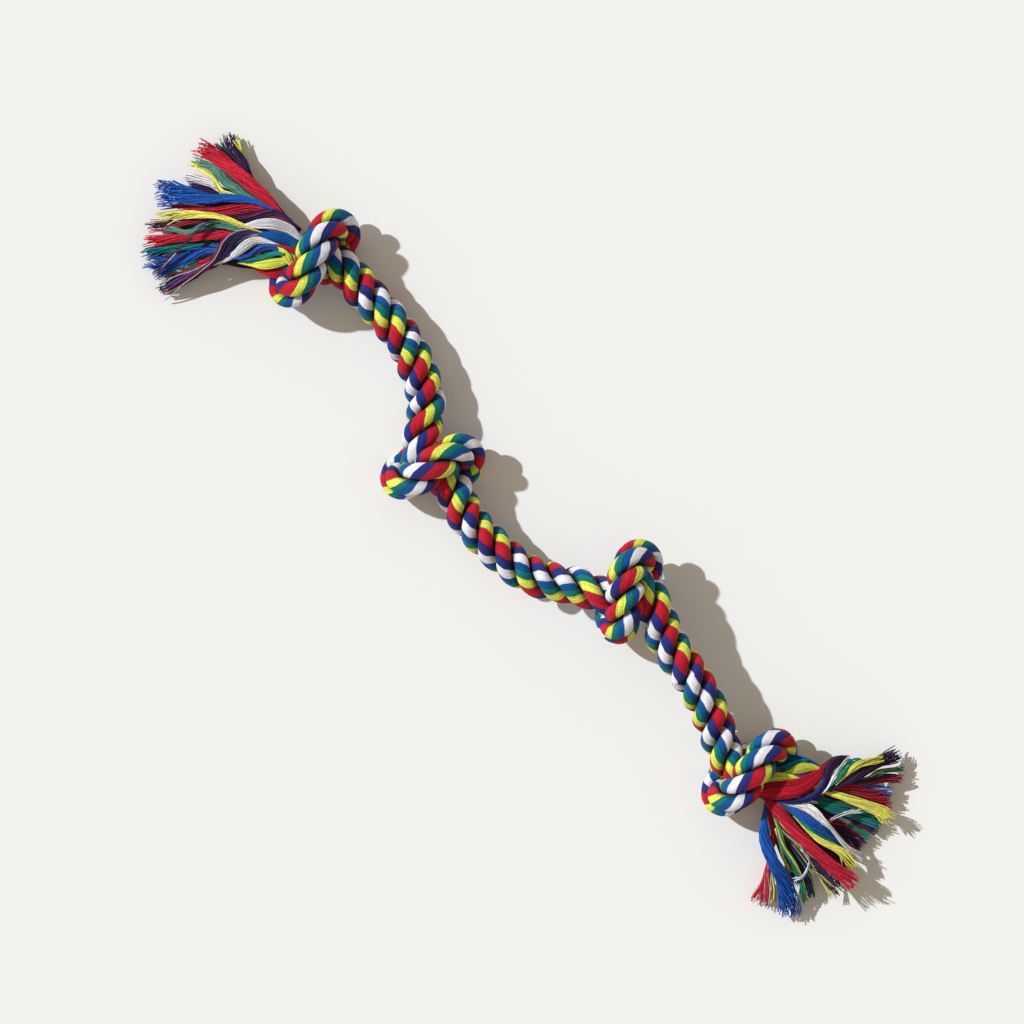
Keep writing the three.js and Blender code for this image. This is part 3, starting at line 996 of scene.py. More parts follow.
@dataclass
class LaidRope:
    """The knots, the stretches between them and the frayed ends' cores, strand by strand.

    A row of section is a point of a strand's outline: its share of the rope's radius, and its angle
    from the strand's crest in degrees.
    """

    route: RopeRoute
    cotton: LaidCotton
    cycles_each_lay: float = 2.3
    ring_step: float = 1.1
    fewest_rings: int = 4
    round_count: int = 44
    relief: float = 0.3
    relief_part: Span = (0.3, 0.7)
    pressed_depth: float = 2.5
    neck_reach: float = 12.0
    bend_reach: float = 20.0
    mark_reach: float = 12.0
    outline_reads: int = 400
    apex: float = 0.05
    strand_middle: float = 0.55
    section: tuple[Span, ...] = (
        (1.0, 0.0),
        (0.98, 15.0),
        (0.92, 28.5),
        (0.825, 40.0),
        (0.7, 48.5),
        (0.56, 54.0),
        (0.42, 55.5),
        (0.22, 47.0),
    )
    marks: tuple[LayMark, ...] = (
        LayMark(12, -2.167, 300, 2.6, (0.73, 0.91, 0.95)),
        LayMark(114, 0.15, 49, 2.4, (0.33, 0.76, 0.82)),
        LayMark(247, 3.46, 41, 2.2, (-0.10, 1.22, 0.40)),
        LayMark(288, 4.49, 40, 2.2, (-0.00, 1.38, 0.30)),
        LayMark(419, 7.60, 48, 2.4, (-0.33, 0.91, 0.39)),
        LayMark(538, 10.52, 39.5, 2.3, (0.04, 0.76, 0.73)),
        LayMark(580, 11.55, 39.5, 2.3, (0.07, 0.86, 0.78)),
        LayMark(703, 14.4, 32, 2.0, (0.5, 0.6, 0.55)),
        LayMark(828, 17.31, 41, 2.2, (0.22, 1.10, 0.88)),
        LayMark(854, 17.99, 40, 2.2, (0.05, 1.09, 0.75)),
        LayMark(989, 21.32, 46, 2.5, (-0.15, 1.29, 0.26)),
        LayMark(1085, 23.38, 300, 2.6, (-0.03, 1.14, 0.73)),
    )
    pieces: list[Object] = field(default_factory=list)
    material: Material = field(init=False)

    def __post_init__(self) -> None:
        """Makes the rope's material."""
        self.material = self.cotton.material()

    def build(self, joints: dict[str, dict]) -> None:
        """Builds every strand, split where the stretches and the necks have their joints.

        Args:
            joints: The part's joints by name.
        """
        route = self.route
        last = len(route.rows) - 1.0
        fronts = [float(front) for front in route.fronts]
        necks = joints["tassel_1_swing"], joints["tassel_2_swing"]
        starts = [route.run_on(self._bend_at(necks[0], 0.0, fronts[0]), self.neck_reach)]
        stops = []
        for number, between in enumerate(zip(fronts, fronts[1:]), 1):
            bends = [joints[f"stretch_{number}_{bend.value}"] for bend in Bend]
            swing, lift = (self._bend_at(bend, *between) for bend in bends)
            stops.append(route.run_on(swing, -self.bend_reach))
            starts.append(route.run_on(lift, self.bend_reach))
            self._stretch(number, (stops[-1], (swing + lift) / 2, starts[-1]))
        stops.append(route.run_on(self._bend_at(necks[1], fronts[-1], last), -self.neck_reach))
        self._frayed(1, (0.0, starts[0]), 0.0)
        self._frayed(2, (stops[-1], last), last)
        for number, span in enumerate(zip(starts, stops), 1):
            self._knot(number, span)

    def _bend_at(self, joint: dict, low: float, high: float) -> float:
        """Gives the station number of a joint between two others."""
        return self.route.nearest(Vector(joint["pos_m"]), low, high)

    def _knot(self, number: int, span: Span) -> None:
        """Builds the strands of one knot, which is stiff.

        Args:
            number: The knot's number, from 1.
            span: First and last station number.
        """
        body = f"knot_{number}"
        for strand in Strand:
            made = self._strand(f"{body}_laid_{strand.letter}", strand, span)
            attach(made, body)
            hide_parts(f"{body}_strand_{strand.letter}")
            strand.slot

    def _stretch(self, number: int, stops: tuple[float, float, float]) -> None:
        """Builds one stretch in two halves, split between its two joints.

        Args:
            number: The stretch's number, from 1.
            stops: Station numbers of its start, its middle and its end.
        """
        body = f"stretch_{number}"
        halves = (
            (Bend.SWING, stops[:2], f"knot_{number}", body),
            (Bend.LIFT, stops[1:], body, f"knot_{number + 1}"),
        )
        for bend, span, before, after in halves:
            tips = in_part(self.route.point(np.array(span)))
            for strand in Strand:
                made = self._strand(f"{body}_{bend.value}_{strand.letter}", strand, span)
                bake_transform(made)
                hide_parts(f"{body}_strand_{strand.letter}")
                strand.slot

    def _frayed(self, number: int, span: Span, tip: float) -> None:
        """Builds the strands of a frayed end.

        Args:
            number: The tassel's number, from 1.
            span: First and last station number.
            tip: Station number of the end.
        """
        end = Vector(in_part(self.route.point(np.array([tip])))[0])
        for strand in Strand:
            made = self._strand(f"tassel_{number}_tail_{strand.letter}", strand, span)
            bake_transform(made)
            strand.slot

    def _strand(self, name: str, strand: Strand, span: Span) -> Object:
        """Builds one strand between two stations.

        Args:
            name: The piece's name.
            strand: Which strand it is.
            span: First and last station number.

        Returns:
            The strand's piece.
        """
        route = self.route
        low, high = route.value(route.run, np.array(span))
        run = np.linspace(low, high, max(self.fewest_rings, round((high - low) / self.ring_step)) + 1)
        places = route.station(run)
        share, angle, swirl = self._outline()
        turns, own = self._lie(run)
        phase = self.cycles_each_lay * turns[:, None] + own[strand.number][:, None] + swirl[None, :]
        spin = TURN * (turns[:, None] + strand.number / len(Strand)) + angle[None, :]
        radius = route.value(route.rows[:, 4], places)[:, None]
        outer = smoothstep(self.relief_part, share)[None, :]
        reach = radius * share[None, :] + self.relief * outer * (self.cotton.swell(phase) - 0.5)
        rings = rings_round(route.point(places), reach, spin, route.frame(places))
        rings[:, :, 2] = self._pressed(rings[:, :, 2])
        mesh = TubeMesh(name, "lay")
        mesh.roll(in_part(rings[:, :-1]), np.stack(np.broadcast_arrays(phase, swirl[None, :]), axis=2))
        made = mesh.piece(self.material)
        self.pieces.append(made)
        return made

    def _outline(self) -> tuple[np.ndarray, np.ndarray, np.ndarray]:
        """Rounds one strand's section.

        Returns:
            Share of the rope's radius, angle from the crest, and turn round the strand's own middle.
        """
        half = [(share, math.radians(angle)) for share, angle in self.section]
        whole = [(share, -angle) for share, angle in reversed(half)] + half[1:]
        corners = np.array([(share * math.cos(angle), share * math.sin(angle)) for share, angle in whole])
        apex = np.array([[self.apex, 0.0]])
        loop = np.vstack([apex, corners, apex])
        dense = along_spline(loop, np.linspace(0, len(loop) - 1, self.outline_reads))
        x, y = spaced_evenly(dense, self.round_count + 1, run_of(dense)).T
        swirl = np.unwrap(np.arctan2(y, x - self.strand_middle)) / TURN
        swirl -= swirl[np.argmax(x)]
        return np.hypot(x, y), np.arctan2(y, x), swirl

    def _lie(self, run: np.ndarray) -> tuple[np.ndarray, np.ndarray]:
        """Reads how the strands lie along the rope.

        Args:
            run: Lengths along the rope.

        Returns:
            The turns made up to each length, and each strand's band phase there.
        """
        ends = [(mark, way * self.mark_reach / mark.lay) for mark in self.marks for way in (-1, 1)]
        runs = [mark.run + part * mark.lay for mark, part in ends]
        turns = [mark.turns + part for mark, part in ends]
        drift = [(mark.cycles - self.cycles_each_lay) * part for mark, part in ends]
        phases = np.array([mark.phases for mark, _ in ends]) + np.array(drift)[:, None]
        own = np.stack([np.interp(run, runs, column) for column in phases.T])
        runs = [self.route.run[0], *runs, self.route.run[-1]]
        before, after = runs[1] - runs[0], runs[-1] - runs[-2]
        turns = [turns[0] - before / self.marks[0].lay, *turns, turns[-1] + after / self.marks[-1].lay]
        return np.interp(run, runs, turns), own

    def _pressed(self, heights: np.ndarray) -> np.ndarray:
        """Presses what would sink into the floor flat against it.

        Args:
            heights: Heights above the floor, below it where they are less than 0.

        Returns:
            The new heights, all above 0.
        """
        soft = self.pressed_depth
        return np.where(heights < soft, soft * np.exp((heights - soft) / soft), heights)


@dataclass(frozen=True)
class Lock:
    """One lock of loose yarn: its colours, its heights at root, middle and tip, and its way.

    Each point of the way is x, y and the lock's width there. A laid lock is a band of the rope's end
    that still lies flat in its strand. A faded lock is paler than its yarn.
    """

    yarn: Yarn
    mixed: tuple[Yarn, ...]
    lift: tuple[float, float, float]
    way: tuple[tuple[float, float, float], ...]
    solid: bool = True
    laid: bool = False
    fade: float = 0.0


@dataclass(frozen=True)
class Waver:
    """How threads waver along their lock: how far, and how often from root to tip."""

    reach: float
    times: Span

    def draw(self, along: np.ndarray, dice: random.Random) -> np.ndarray:
        """Draws one thread's wavering.

        Args:
            along: Places along the lock, from 0 at its root to about 1.
            dice: The lock's own random numbers.

        Returns:
            How far the thread is off at each place.
        """
        return self.reach * np.sin(TURN * (dice.uniform(*self.times) * along + dice.random()))


@dataclass(frozen=True)
class Bundle:
    """A lock as it is spun: its middle line, its threads' radius, its turns and its random numbers."""

    lock: Lock
    line: np.ndarray
    radius: float
    twist: float
    dice: random.Random

    @property
    def length(self) -> float:
        """The length of the lock's middle line."""
        return run_of(self.line)[-1]


@dataclass
class Tassel:
    """A frayed end of the rope: locks of thread that leave the neck and fan out."""

    number: int
    locks: tuple[Lock, ...]
    material: Material
    sides: int = 4
    rings: int = 17
    seeds_apart: int = 100
    way_reads: int = 160
    line_reads: int = 80
    blend_reach: float = 0.012
    thickness: float = 0.62
    thick_range: Span = (1.6, 6.0)
    least_width: float = 0.4
    floor_gap: float = 0.2
    thread_radius: float = 0.42
    laid_radius: float = 0.32
    radius_spread: Span = (0.85, 1.15)
    taper: float = 0.35
    taper_part: Span = (0.85, 1.05)
    packing: float = 1.05
    laid_packing: float = 1.7
    tip_layers: float = 3.2
    fewest_threads: int = 5
    golden_turn: float = 2.39996
    twist_each_millimetre: Span = (0.008, 0.014)
    shorter: float = 0.13
    longer: float = 0.05
    laid_looseness: float = 0.1
    root_looseness: float = 0.15
    wave: Waver = Waver(0.32, (0.5, 1.1))
    crimp: Waver = Waver(0.12, (2.0, 4.0))
    dip: Waver = Waver(0.25, (0.6, 1.6))
    splay: float = 0.9
    stray_splay: float = 3.6
    stray_share: float = 0.12
    splay_part: Span = (0.6, 1.05)
    splay_rise: float = 0.7
    mixed_share: float = 0.32
    mixed_strength: Span = (0.3, 1.0)
    tones: Span = (0.6, 1.25)
    laid_tones: Span = (0.6, 1.3)
    ply_length: float = 1.3
    map_shift: float = 3.7
    pieces: list[Object] = field(default_factory=list)

    def build(self, joints: dict[str, dict]) -> None:
        """Builds every lock.

        Args:
            joints: The part's joints by name. Not used.
        """
        solid = 0
        for index, lock in enumerate(self.locks):
            name = f"tassel_{self.number}_yarn_{index + 1:02d}_{lock.yarn.slot}"
            dice = random.Random(self.seeds_apart * self.number + index)
            made = self._lock(name, self._bundle(lock, dice))
            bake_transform(made)
            if lock.solid:
                solid += 1
                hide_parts(f"tassel_{self.number}_lock_{solid:02d}_{lock.yarn.slot}")
            lock.yarn.slot
            self.pieces.append(made)

    def _bundle(self, lock: Lock, dice: random.Random) -> Bundle:
        """Runs along a lock's middle, and draws how often it twists.

        Args:
            lock: What the lock is like.
            dice: The lock's own random numbers.

        Returns:
            The lock, ready to be spun. Its line has rows of x, y, z and width.
        """
        way = np.array(lock.way, float)
        flat = run_of(way[:, :2])
        heights = np.interp(flat / flat[-1], [0.0, 0.5, 1.0], lock.lift)
        rows = np.stack([way[:, 0], way[:, 1], heights, way[:, 2]], axis=1)
        dense = along_spline(rows, np.linspace(0, len(way) - 1, self.way_reads))
        line = spaced_evenly(dense, self.line_reads, run_of(dense))
        if lock.laid:
            return Bundle(lock, line, self.laid_radius, 0.0, dice)
        twist = dice.uniform(*self.twist_each_millimetre) * run_of(line)[-1]
        return Bundle(lock, line, self.thread_radius, twist, dice)

    def _thick(self, width: np.ndarray) -> np.ndarray:
        """Gives a lock's thickness where it is so wide."""
        return np.clip(self.thickness * width, *self.thick_range)

    def _thread_count(self, bundle: Bundle) -> int:
        """Counts the threads that fill a lock and cover its tip.

        Args:
            bundle: The lock.

        Returns:
            How many threads it has.
        """
        width = bundle.line[:, 3]
        packing = self.laid_packing if bundle.lock.laid else self.packing
        filled = packing * (width * self._thick(width)).mean() / (4 * bundle.radius**2)
        covering = self.tip_layers * width[-1] / (2 * bundle.radius)
        return max(self.fewest_threads, round(max(filled, covering)))

    def _lock(self, name: str, bundle: Bundle) -> Object:
        """Builds one lock as a twisted bundle of threads.

        Args:
            name: The piece's name.
            bundle: The lock.

        Returns:
            The lock's piece.
        """
        count = self._thread_count(bundle)
        mesh = TubeMesh(name, "thread", coloured=True)
        for index in range(count):
            spot = math.sqrt((index + 0.5) / count), self.golden_turn * index
            colour = self._colour(bundle)
            rings, maps = self._thread(bundle, spot)
            mesh.roll(in_part(rings), maps, colour)
        return mesh.piece(self.material)

    def _colour(self, bundle: Bundle) -> Colour:
        """Draws one thread's colour.

        Args:
            bundle: The thread's lock.

        Returns:
            The linear colour with full alpha.
        """
        lock, dice = bundle.lock, bundle.dice
        shades = [yarn.laid if lock.laid else yarn.loose for yarn in (lock.yarn, *lock.mixed)]
        share = 0.0
        other = shades[0]
        if lock.mixed and dice.random() < self.mixed_share:
            other = dice.choice(shades[1:])
            share = dice.uniform(*self.mixed_strength)
        tone = dice.uniform(*(self.laid_tones if lock.laid else self.tones))
        mixed = [own + share * (added - own) for own, added in zip(shades[0][:3], other[:3])]
        red, green, blue = (min(1.0, (c + lock.fade * (1.0 - c)) * tone) for c in mixed)
        return (red, green, blue, 1.0)

    def _thread(self, bundle: Bundle, spot: Span) -> tuple[np.ndarray, np.ndarray]:
        """Spins one thread of a lock.

        Args:
            bundle: The thread's lock.
            spot: The thread's place in the lock's section: share of its reach, and bearing.

        Returns:
            The thread's rings and its map.
        """
        dice = bundle.dice
        end = 1.0 - self.shorter * dice.random() ** 2 + self.longer * dice.random()
        along = np.linspace(0.0, end, self.rings)
        centre = self._course(bundle, spot, along)
        slim = 1.0 - self.taper * smoothstep(self.taper_part, along)
        radius = bundle.radius * dice.uniform(*self.radius_spread) * slim
        centre[:, 2] = np.maximum(centre[:, 2], radius + self.floor_gap)
        ahead = unit(np.gradient(centre, axis=0))
        first = unit(np.cross(ahead, UP))
        turn = TURN * (np.arange(self.sides) + 0.5) / self.sides
        rings = rings_round(centre, radius[:, None], turn[None, :], (first, np.cross(ahead, first)))
        plies = along * bundle.length / self.ply_length + self.map_shift * spot[1]
        around = np.linspace(0.0, 1.0, self.sides + 1)
        return rings, np.stack(np.meshgrid(plies, around, indexing="ij"), axis=2)

    def _course(self, bundle: Bundle, spot: Span, along: np.ndarray) -> np.ndarray:
        """Lays the middle of one thread along its lock.

        Args:
            bundle: The thread's lock.
            spot: The thread's place in the lock's section: share of its reach, and bearing.
            along: Places along the lock, from 0 at its root to about 1.

        Returns:
            The thread's point at each place.
        """
        lock, line, dice = bundle.lock, bundle.line, bundle.dice
        known = np.linspace(0, 1, len(line))
        rows = np.stack([np.interp(along, known, column) for column in line.T], axis=1)
        middle = rows[:, :3]
        width = np.maximum(rows[:, 3] - bundle.radius, self.least_width)
        past = np.maximum(along - 1.0, 0.0)[:, None] * bundle.length
        middle += past * unit(line[-1, :3] - line[-3, :3])[None, :]
        tangent = unit(np.gradient(middle, axis=0))
        side = unit(np.cross(tangent, UP))
        up = np.cross(side, tangent)
        bearing = spot[1] + TURN * bundle.twist * along
        looseness = self.root_looseness + (1.0 - self.root_looseness) * along
        if lock.laid:
            looseness = self.laid_looseness
        wave, crimp, dip = (waver.draw(along, dice) for waver in (self.wave, self.crimp, self.dip))
        stray = self.stray_splay if dice.random() < self.stray_share else self.splay
        splay = 0.0 if lock.laid else stray * smoothstep(self.splay_part, along) ** 2
        across = spot[0] * np.cos(bearing) * width / 2 + looseness * (wave + crimp)
        across += splay * dice.uniform(-1, 1)
        rise = spot[0] * np.sin(bearing) * self._thick(width) / 2 + looseness * dip
        rise += splay * dice.uniform(-self.splay_rise, self.splay_rise)
        return middle + side * across[:, None] + up * rise[:, None]


def first_tassel_locks() -> tuple[Lock, ...]:
    """Lists the locks of the tassel at the rope's start.

    Returns:
        The locks in order across the fan.
    """
    red, yellow, green = Yarn.RED, Yarn.YELLOW, Yarn.GREEN
    blue, white, plum = Yarn.BLUE, Yarn.WHITE, Yarn.PLUM
    return (
        Lock(
            green, (), (15, 9, 5),
            (
                (-220, 27, 0.5), (-229, 27, 0.5), (-235, 28, 1), (-242, 31, 1.5), (-248, 33, 1.5),
                (-254, 36, 1.5), (-258, 39, 1.5)
            ),
        ),
        Lock(
            plum, (), (17, 12, 6),
            (
                (-215, 27, 2), (-225, 28, 3), (-234, 28, 4), (-242, 31, 5.5), (-249, 32, 6.5),
                (-255, 33, 7), (-261, 36, 7)
            ),
        ),
        Lock(
            plum, (green,), (15, 10, 6),
            (
                (-216, 26, 1.5), (-228, 26, 2.5), (-237, 27, 3.5), (-246, 28, 4), (-253, 28, 4),
                (-258, 29, 4.5), (-262, 29, 4.5)
            ),
        ),
        Lock(
            red, (), (18, 17, 9),
            (
                (-201, 25, 2.5), (-209, 26, 3.5), (-216, 27, 5), (-222, 27, 6.5), (-230, 26, 7.5),
                (-238, 26, 7.5), (-246, 25, 7.5), (-254, 24, 8.5), (-261, 23, 10), (-267, 21, 11.5)
            ),
        ),
        Lock(
            green, (), (17, 14, 7),
            (
                (-216, 22, 2), (-224, 21, 3), (-230, 19, 4.5), (-237, 18, 5), (-242, 17, 5),
                (-248, 18, 5), (-254, 18, 4.5), (-259, 16, 4), (-264, 13, 3.5)
            ),
            fade=0.1,
        ),
        Lock(
            yellow, (), (15, 11, 6),
            (
                (-228, 16, 2.5), (-235, 14, 4), (-240, 12, 4), (-245, 13, 3.5), (-250, 14, 3),
                (-257, 13, 3), (-262, 12, 3.5), (-265, 11, 4)
            ),
        ),
        Lock(
            white, (plum, red), (12, 8, 5),
            (
                (-235, 13, 2.5), (-242, 12, 3), (-247, 11, 3.5), (-252, 9, 4), (-256, 7, 5),
                (-262, 4, 6.5)
            ),
        ),
        Lock(
            blue, (), (21, 21, 12),
            (
                (-212, 26, 1), (-217, 23, 1.5), (-223, 21, 3), (-230, 16, 4.5), (-236, 11, 5),
                (-241, 5, 6), (-248, 0, 8.5), (-255, -5, 11), (-261, -9, 14), (-265, -13, 15)
            ),
        ),
        Lock(
            red, (plum,), (20, 18, 8),
            (
                (-203, 27, 2.5), (-211, 25, 2.5), (-218, 20, 3), (-224, 16, 4.5), (-229, 10, 5.5),
                (-234, 4, 5), (-238, 0, 3.5), (-244, -5, 3), (-251, -10, 3), (-257, -16, 3.5)
            ),
        ),
        Lock(
            plum, (red,), (22, 19, 7),
            (
                (-196, 26, 3.5), (-205, 26, 4.5), (-211, 24, 5.5), (-216, 18, 6), (-220, 12, 6),
                (-225, 7, 5.5), (-230, 2, 4), (-234, -4, 3), (-240, -11, 3.5), (-246, -19, 4.5),
                (-255, -30, 7)
            ),
        ),
        Lock(
            yellow, (), (25, 22, 10),
            (
                (-207, 12, 0.5), (-213, 9, 1), (-220, 6, 3), (-227, 3, 3.5), (-234, -1, 3.5),
                (-241, -7, 4.5), (-248, -14, 5), (-255, -23, 6)
            ),
        ),
        Lock(
            green, (), (22, 20, 9),
            (
                (-214, 6, 1.5), (-219, 3, 3), (-225, -0, 4), (-230, -4, 4), (-234, -9, 3.5),
                (-236, -14, 3), (-239, -19, 3), (-245, -22, 3), (-250, -25, 3)
            ),
            fade=0.1,
        ),
        Lock(
            red, (), (19, 16, 8),
            (
                (-215, 4, 2), (-221, -2, 4), (-226, -8, 5.5), (-231, -14, 5), (-237, -21, 5),
                (-243, -28, 5.5), (-251, -37, 7)
            ),
        ),
        Lock(
            plum, (red, red, blue, white), (26, 19, 5),
            (
                (-201, 13, 1), (-208, 11, 2.5), (-213, 6, 5), (-216, 0, 7.5), (-217, -7, 8.5),
                (-216, -13, 7), (-216, -19, 3.5), (-217, -24, 3.5), (-219, -32, 5.5), (-223, -40, 8),
                (-227, -50, 10.5)
            ),
        ),
        Lock(
            white, (), (24, 26, 14),
            (
                (-195, 14, 1), (-202, 10, 3), (-207, 6, 4.5), (-209, -0, 5.5), (-210, -7, 4),
                (-212, -14, 2.5), (-215, -20, 1.5)
            ),
            laid=True,
        ),
        Lock(
            blue, (plum,), (27, 18, 8),
            (
                (-193, 12, 2.5), (-199, 9, 4), (-203, 4, 5.5), (-205, -3, 5), (-209, -8, 3.5),
                (-215, -12, 3.5), (-222, -16, 4.5), (-226, -23, 5.5), (-230, -31, 6), (-235, -39, 7),
                (-242, -45, 9)
            ),
        ),
        Lock(
            green, (blue,), (29, 14, 7),
            (
                (-190, 12, 1.5), (-193, 10, 2.5), (-197, 4, 3.5), (-200, -2, 2.5), (-205, -7, 2.5),
                (-215, -9, 3), (-223, -12, 3.5), (-229, -19, 4), (-235, -26, 5), (-242, -34, 6),
                (-247, -42, 7.5)
            ),
        ),
        Lock(
            white, (), (24, 27, 22),
            (
                (-190, 24, 2.5), (-197, 24, 5), (-202, 22, 6), (-207, 19, 6.5), (-212, 14, 5.5),
                (-216, 9, 3), (-219, 5, 1.5)
            ),
            laid=True,
        ),
        Lock(
            yellow, (), (15, 10, 6),
            (
                (-219, 27, 0.5), (-228, 28, 0.5), (-234, 29, 1), (-240, 31, 1), (-246, 34, 1.5),
                (-252, 37, 2), (-257, 40, 2.5)
            ),
            solid=False,
        ),
        Lock(
            blue, (), (27, 28, 22),
            (
                (-189, 21, 5), (-193, 19, 6), (-198, 17, 6.5), (-204, 13, 4.5), (-209, 10, 2),
                (-214, 8, 1)
            ),
            solid=False, laid=True,
        ),
        Lock(
            green, (), (27, 28, 26),
            (
                (-186, 21, 4.5), (-190, 20, 4.5), (-194, 18, 2.5), (-198, 16, 1)
            ),
            solid=False, laid=True,
        ),
        Lock(
            red, (), (27, 28.5, 27),
            (
                (-185, 18, 3), (-190, 16, 2.5), (-194, 14, 1.5), (-198, 12, 0.5)
            ),
            solid=False, laid=True,
        ),
        Lock(
            yellow, (), (27, 28, 27),
            (
                (-182, 11, 3), (-185, 11, 3.5), (-188, 12, 4), (-192, 12, 4), (-195, 12, 1)
            ),
            solid=False, laid=True,
        ),
        Lock(
            yellow, (), (26, 25, 16),
            (
                (-184, 14, 2), (-187, 10, 4), (-191, 4, 6), (-195, -1, 5.5), (-200, -5, 3),
                (-205, -9, 1)
            ),
            solid=False, laid=True,
        ),
        Lock(
            red, (), (22, 21, 14),
            (
                (-178, 9, 6), (-184, 4, 7), (-188, 0, 6), (-192, -3, 3.5), (-198, -6, 1)
            ),
            solid=False, laid=True,
        ),
        Lock(
            red, (), (14, 15, 13),
            (
                (-214, -9, 2), (-216, -15, 3), (-218, -20, 4), (-220, -23, 4), (-222, -26, 3.5)
            ),
            solid=False,
        ),
        Lock(
            plum, (blue, green), (11, 8, 6),
            (
                (-219, -9, 2.5), (-229, -15, 3.5), (-234, -23, 4), (-240, -32, 5.5), (-245, -42, 7.5)
            ),
            solid=False,
        ),
        Lock(
            blue, (green, plum), (14, 13, 6),
            (
                (-220, -15, 2.5), (-225, -26, 4), (-229, -34, 5.5), (-232, -40, 6.5), (-235, -46, 7)
            ),
            solid=False,
        ),
        Lock(
            plum, (white,), (24, 22, 12),
            (
                (-231, -2, 0.5), (-233, -5, 1), (-234, -11, 1.5), (-234, -19, 1.5), (-234, -28, 1.5),
                (-234, -37, 2), (-235, -47, 2)
            ),
            solid=False,
        ),
        Lock(
            plum, (blue, red), (10, 10, 9),
            (
                (-184, 8, 6), (-193, 2, 7.5), (-201, -4, 7.5), (-209, -10, 7), (-215, -15, 6)
            ),
            solid=False,
        ),
        Lock(
            plum, (red, blue), (16, 14, 7),
            (
                (-196, 9, 6), (-205, 4, 7.5), (-214, -3, 8), (-221, -12, 7.5), (-227, -21, 7.5),
                (-233, -32, 8)
            ),
            solid=False,
        ),
        Lock(
            plum, (red, green), (14, 11, 6),
            (
                (-204, 21, 5), (-214, 16, 7), (-222, 6, 7.5), (-229, -4, 7), (-237, -13, 6.5),
                (-245, -23, 6.5)
            ),
            solid=False,
        ),
        Lock(
            plum, (red,), (9, 10, 5),
            (
                (-215, -8, 5), (-216, -13, 5.5), (-215, -19, 4), (-217, -24, 4), (-219, -31, 5),
                (-222, -38, 6.5)
            ),
            solid=False,
        ),
        Lock(
            plum, (red,), (15, 9, 5),
            (
                (-194, 27, 3.5), (-204, 26, 4.5), (-215, 27, 5), (-226, 27, 5.5), (-238, 27, 5.5),
                (-249, 27, 5)
            ),
            solid=False,
        ),
        Lock(
            plum, (red, blue), (14, 11, 6),
            (
                (-203, 26, 4), (-213, 22, 5.5), (-223, 18, 6), (-231, 12, 6), (-239, 5, 5.5),
                (-247, -1, 5.5)
            ),
            solid=False,
        ),
        Lock(
            plum, (blue,), (12, 9, 5),
            (
                (-210, 23, 4), (-221, 20, 6), (-232, 16, 7), (-241, 11, 6.5), (-249, 6, 5.5),
                (-255, 2, 5)
            ),
            solid=False,
        ),
    )


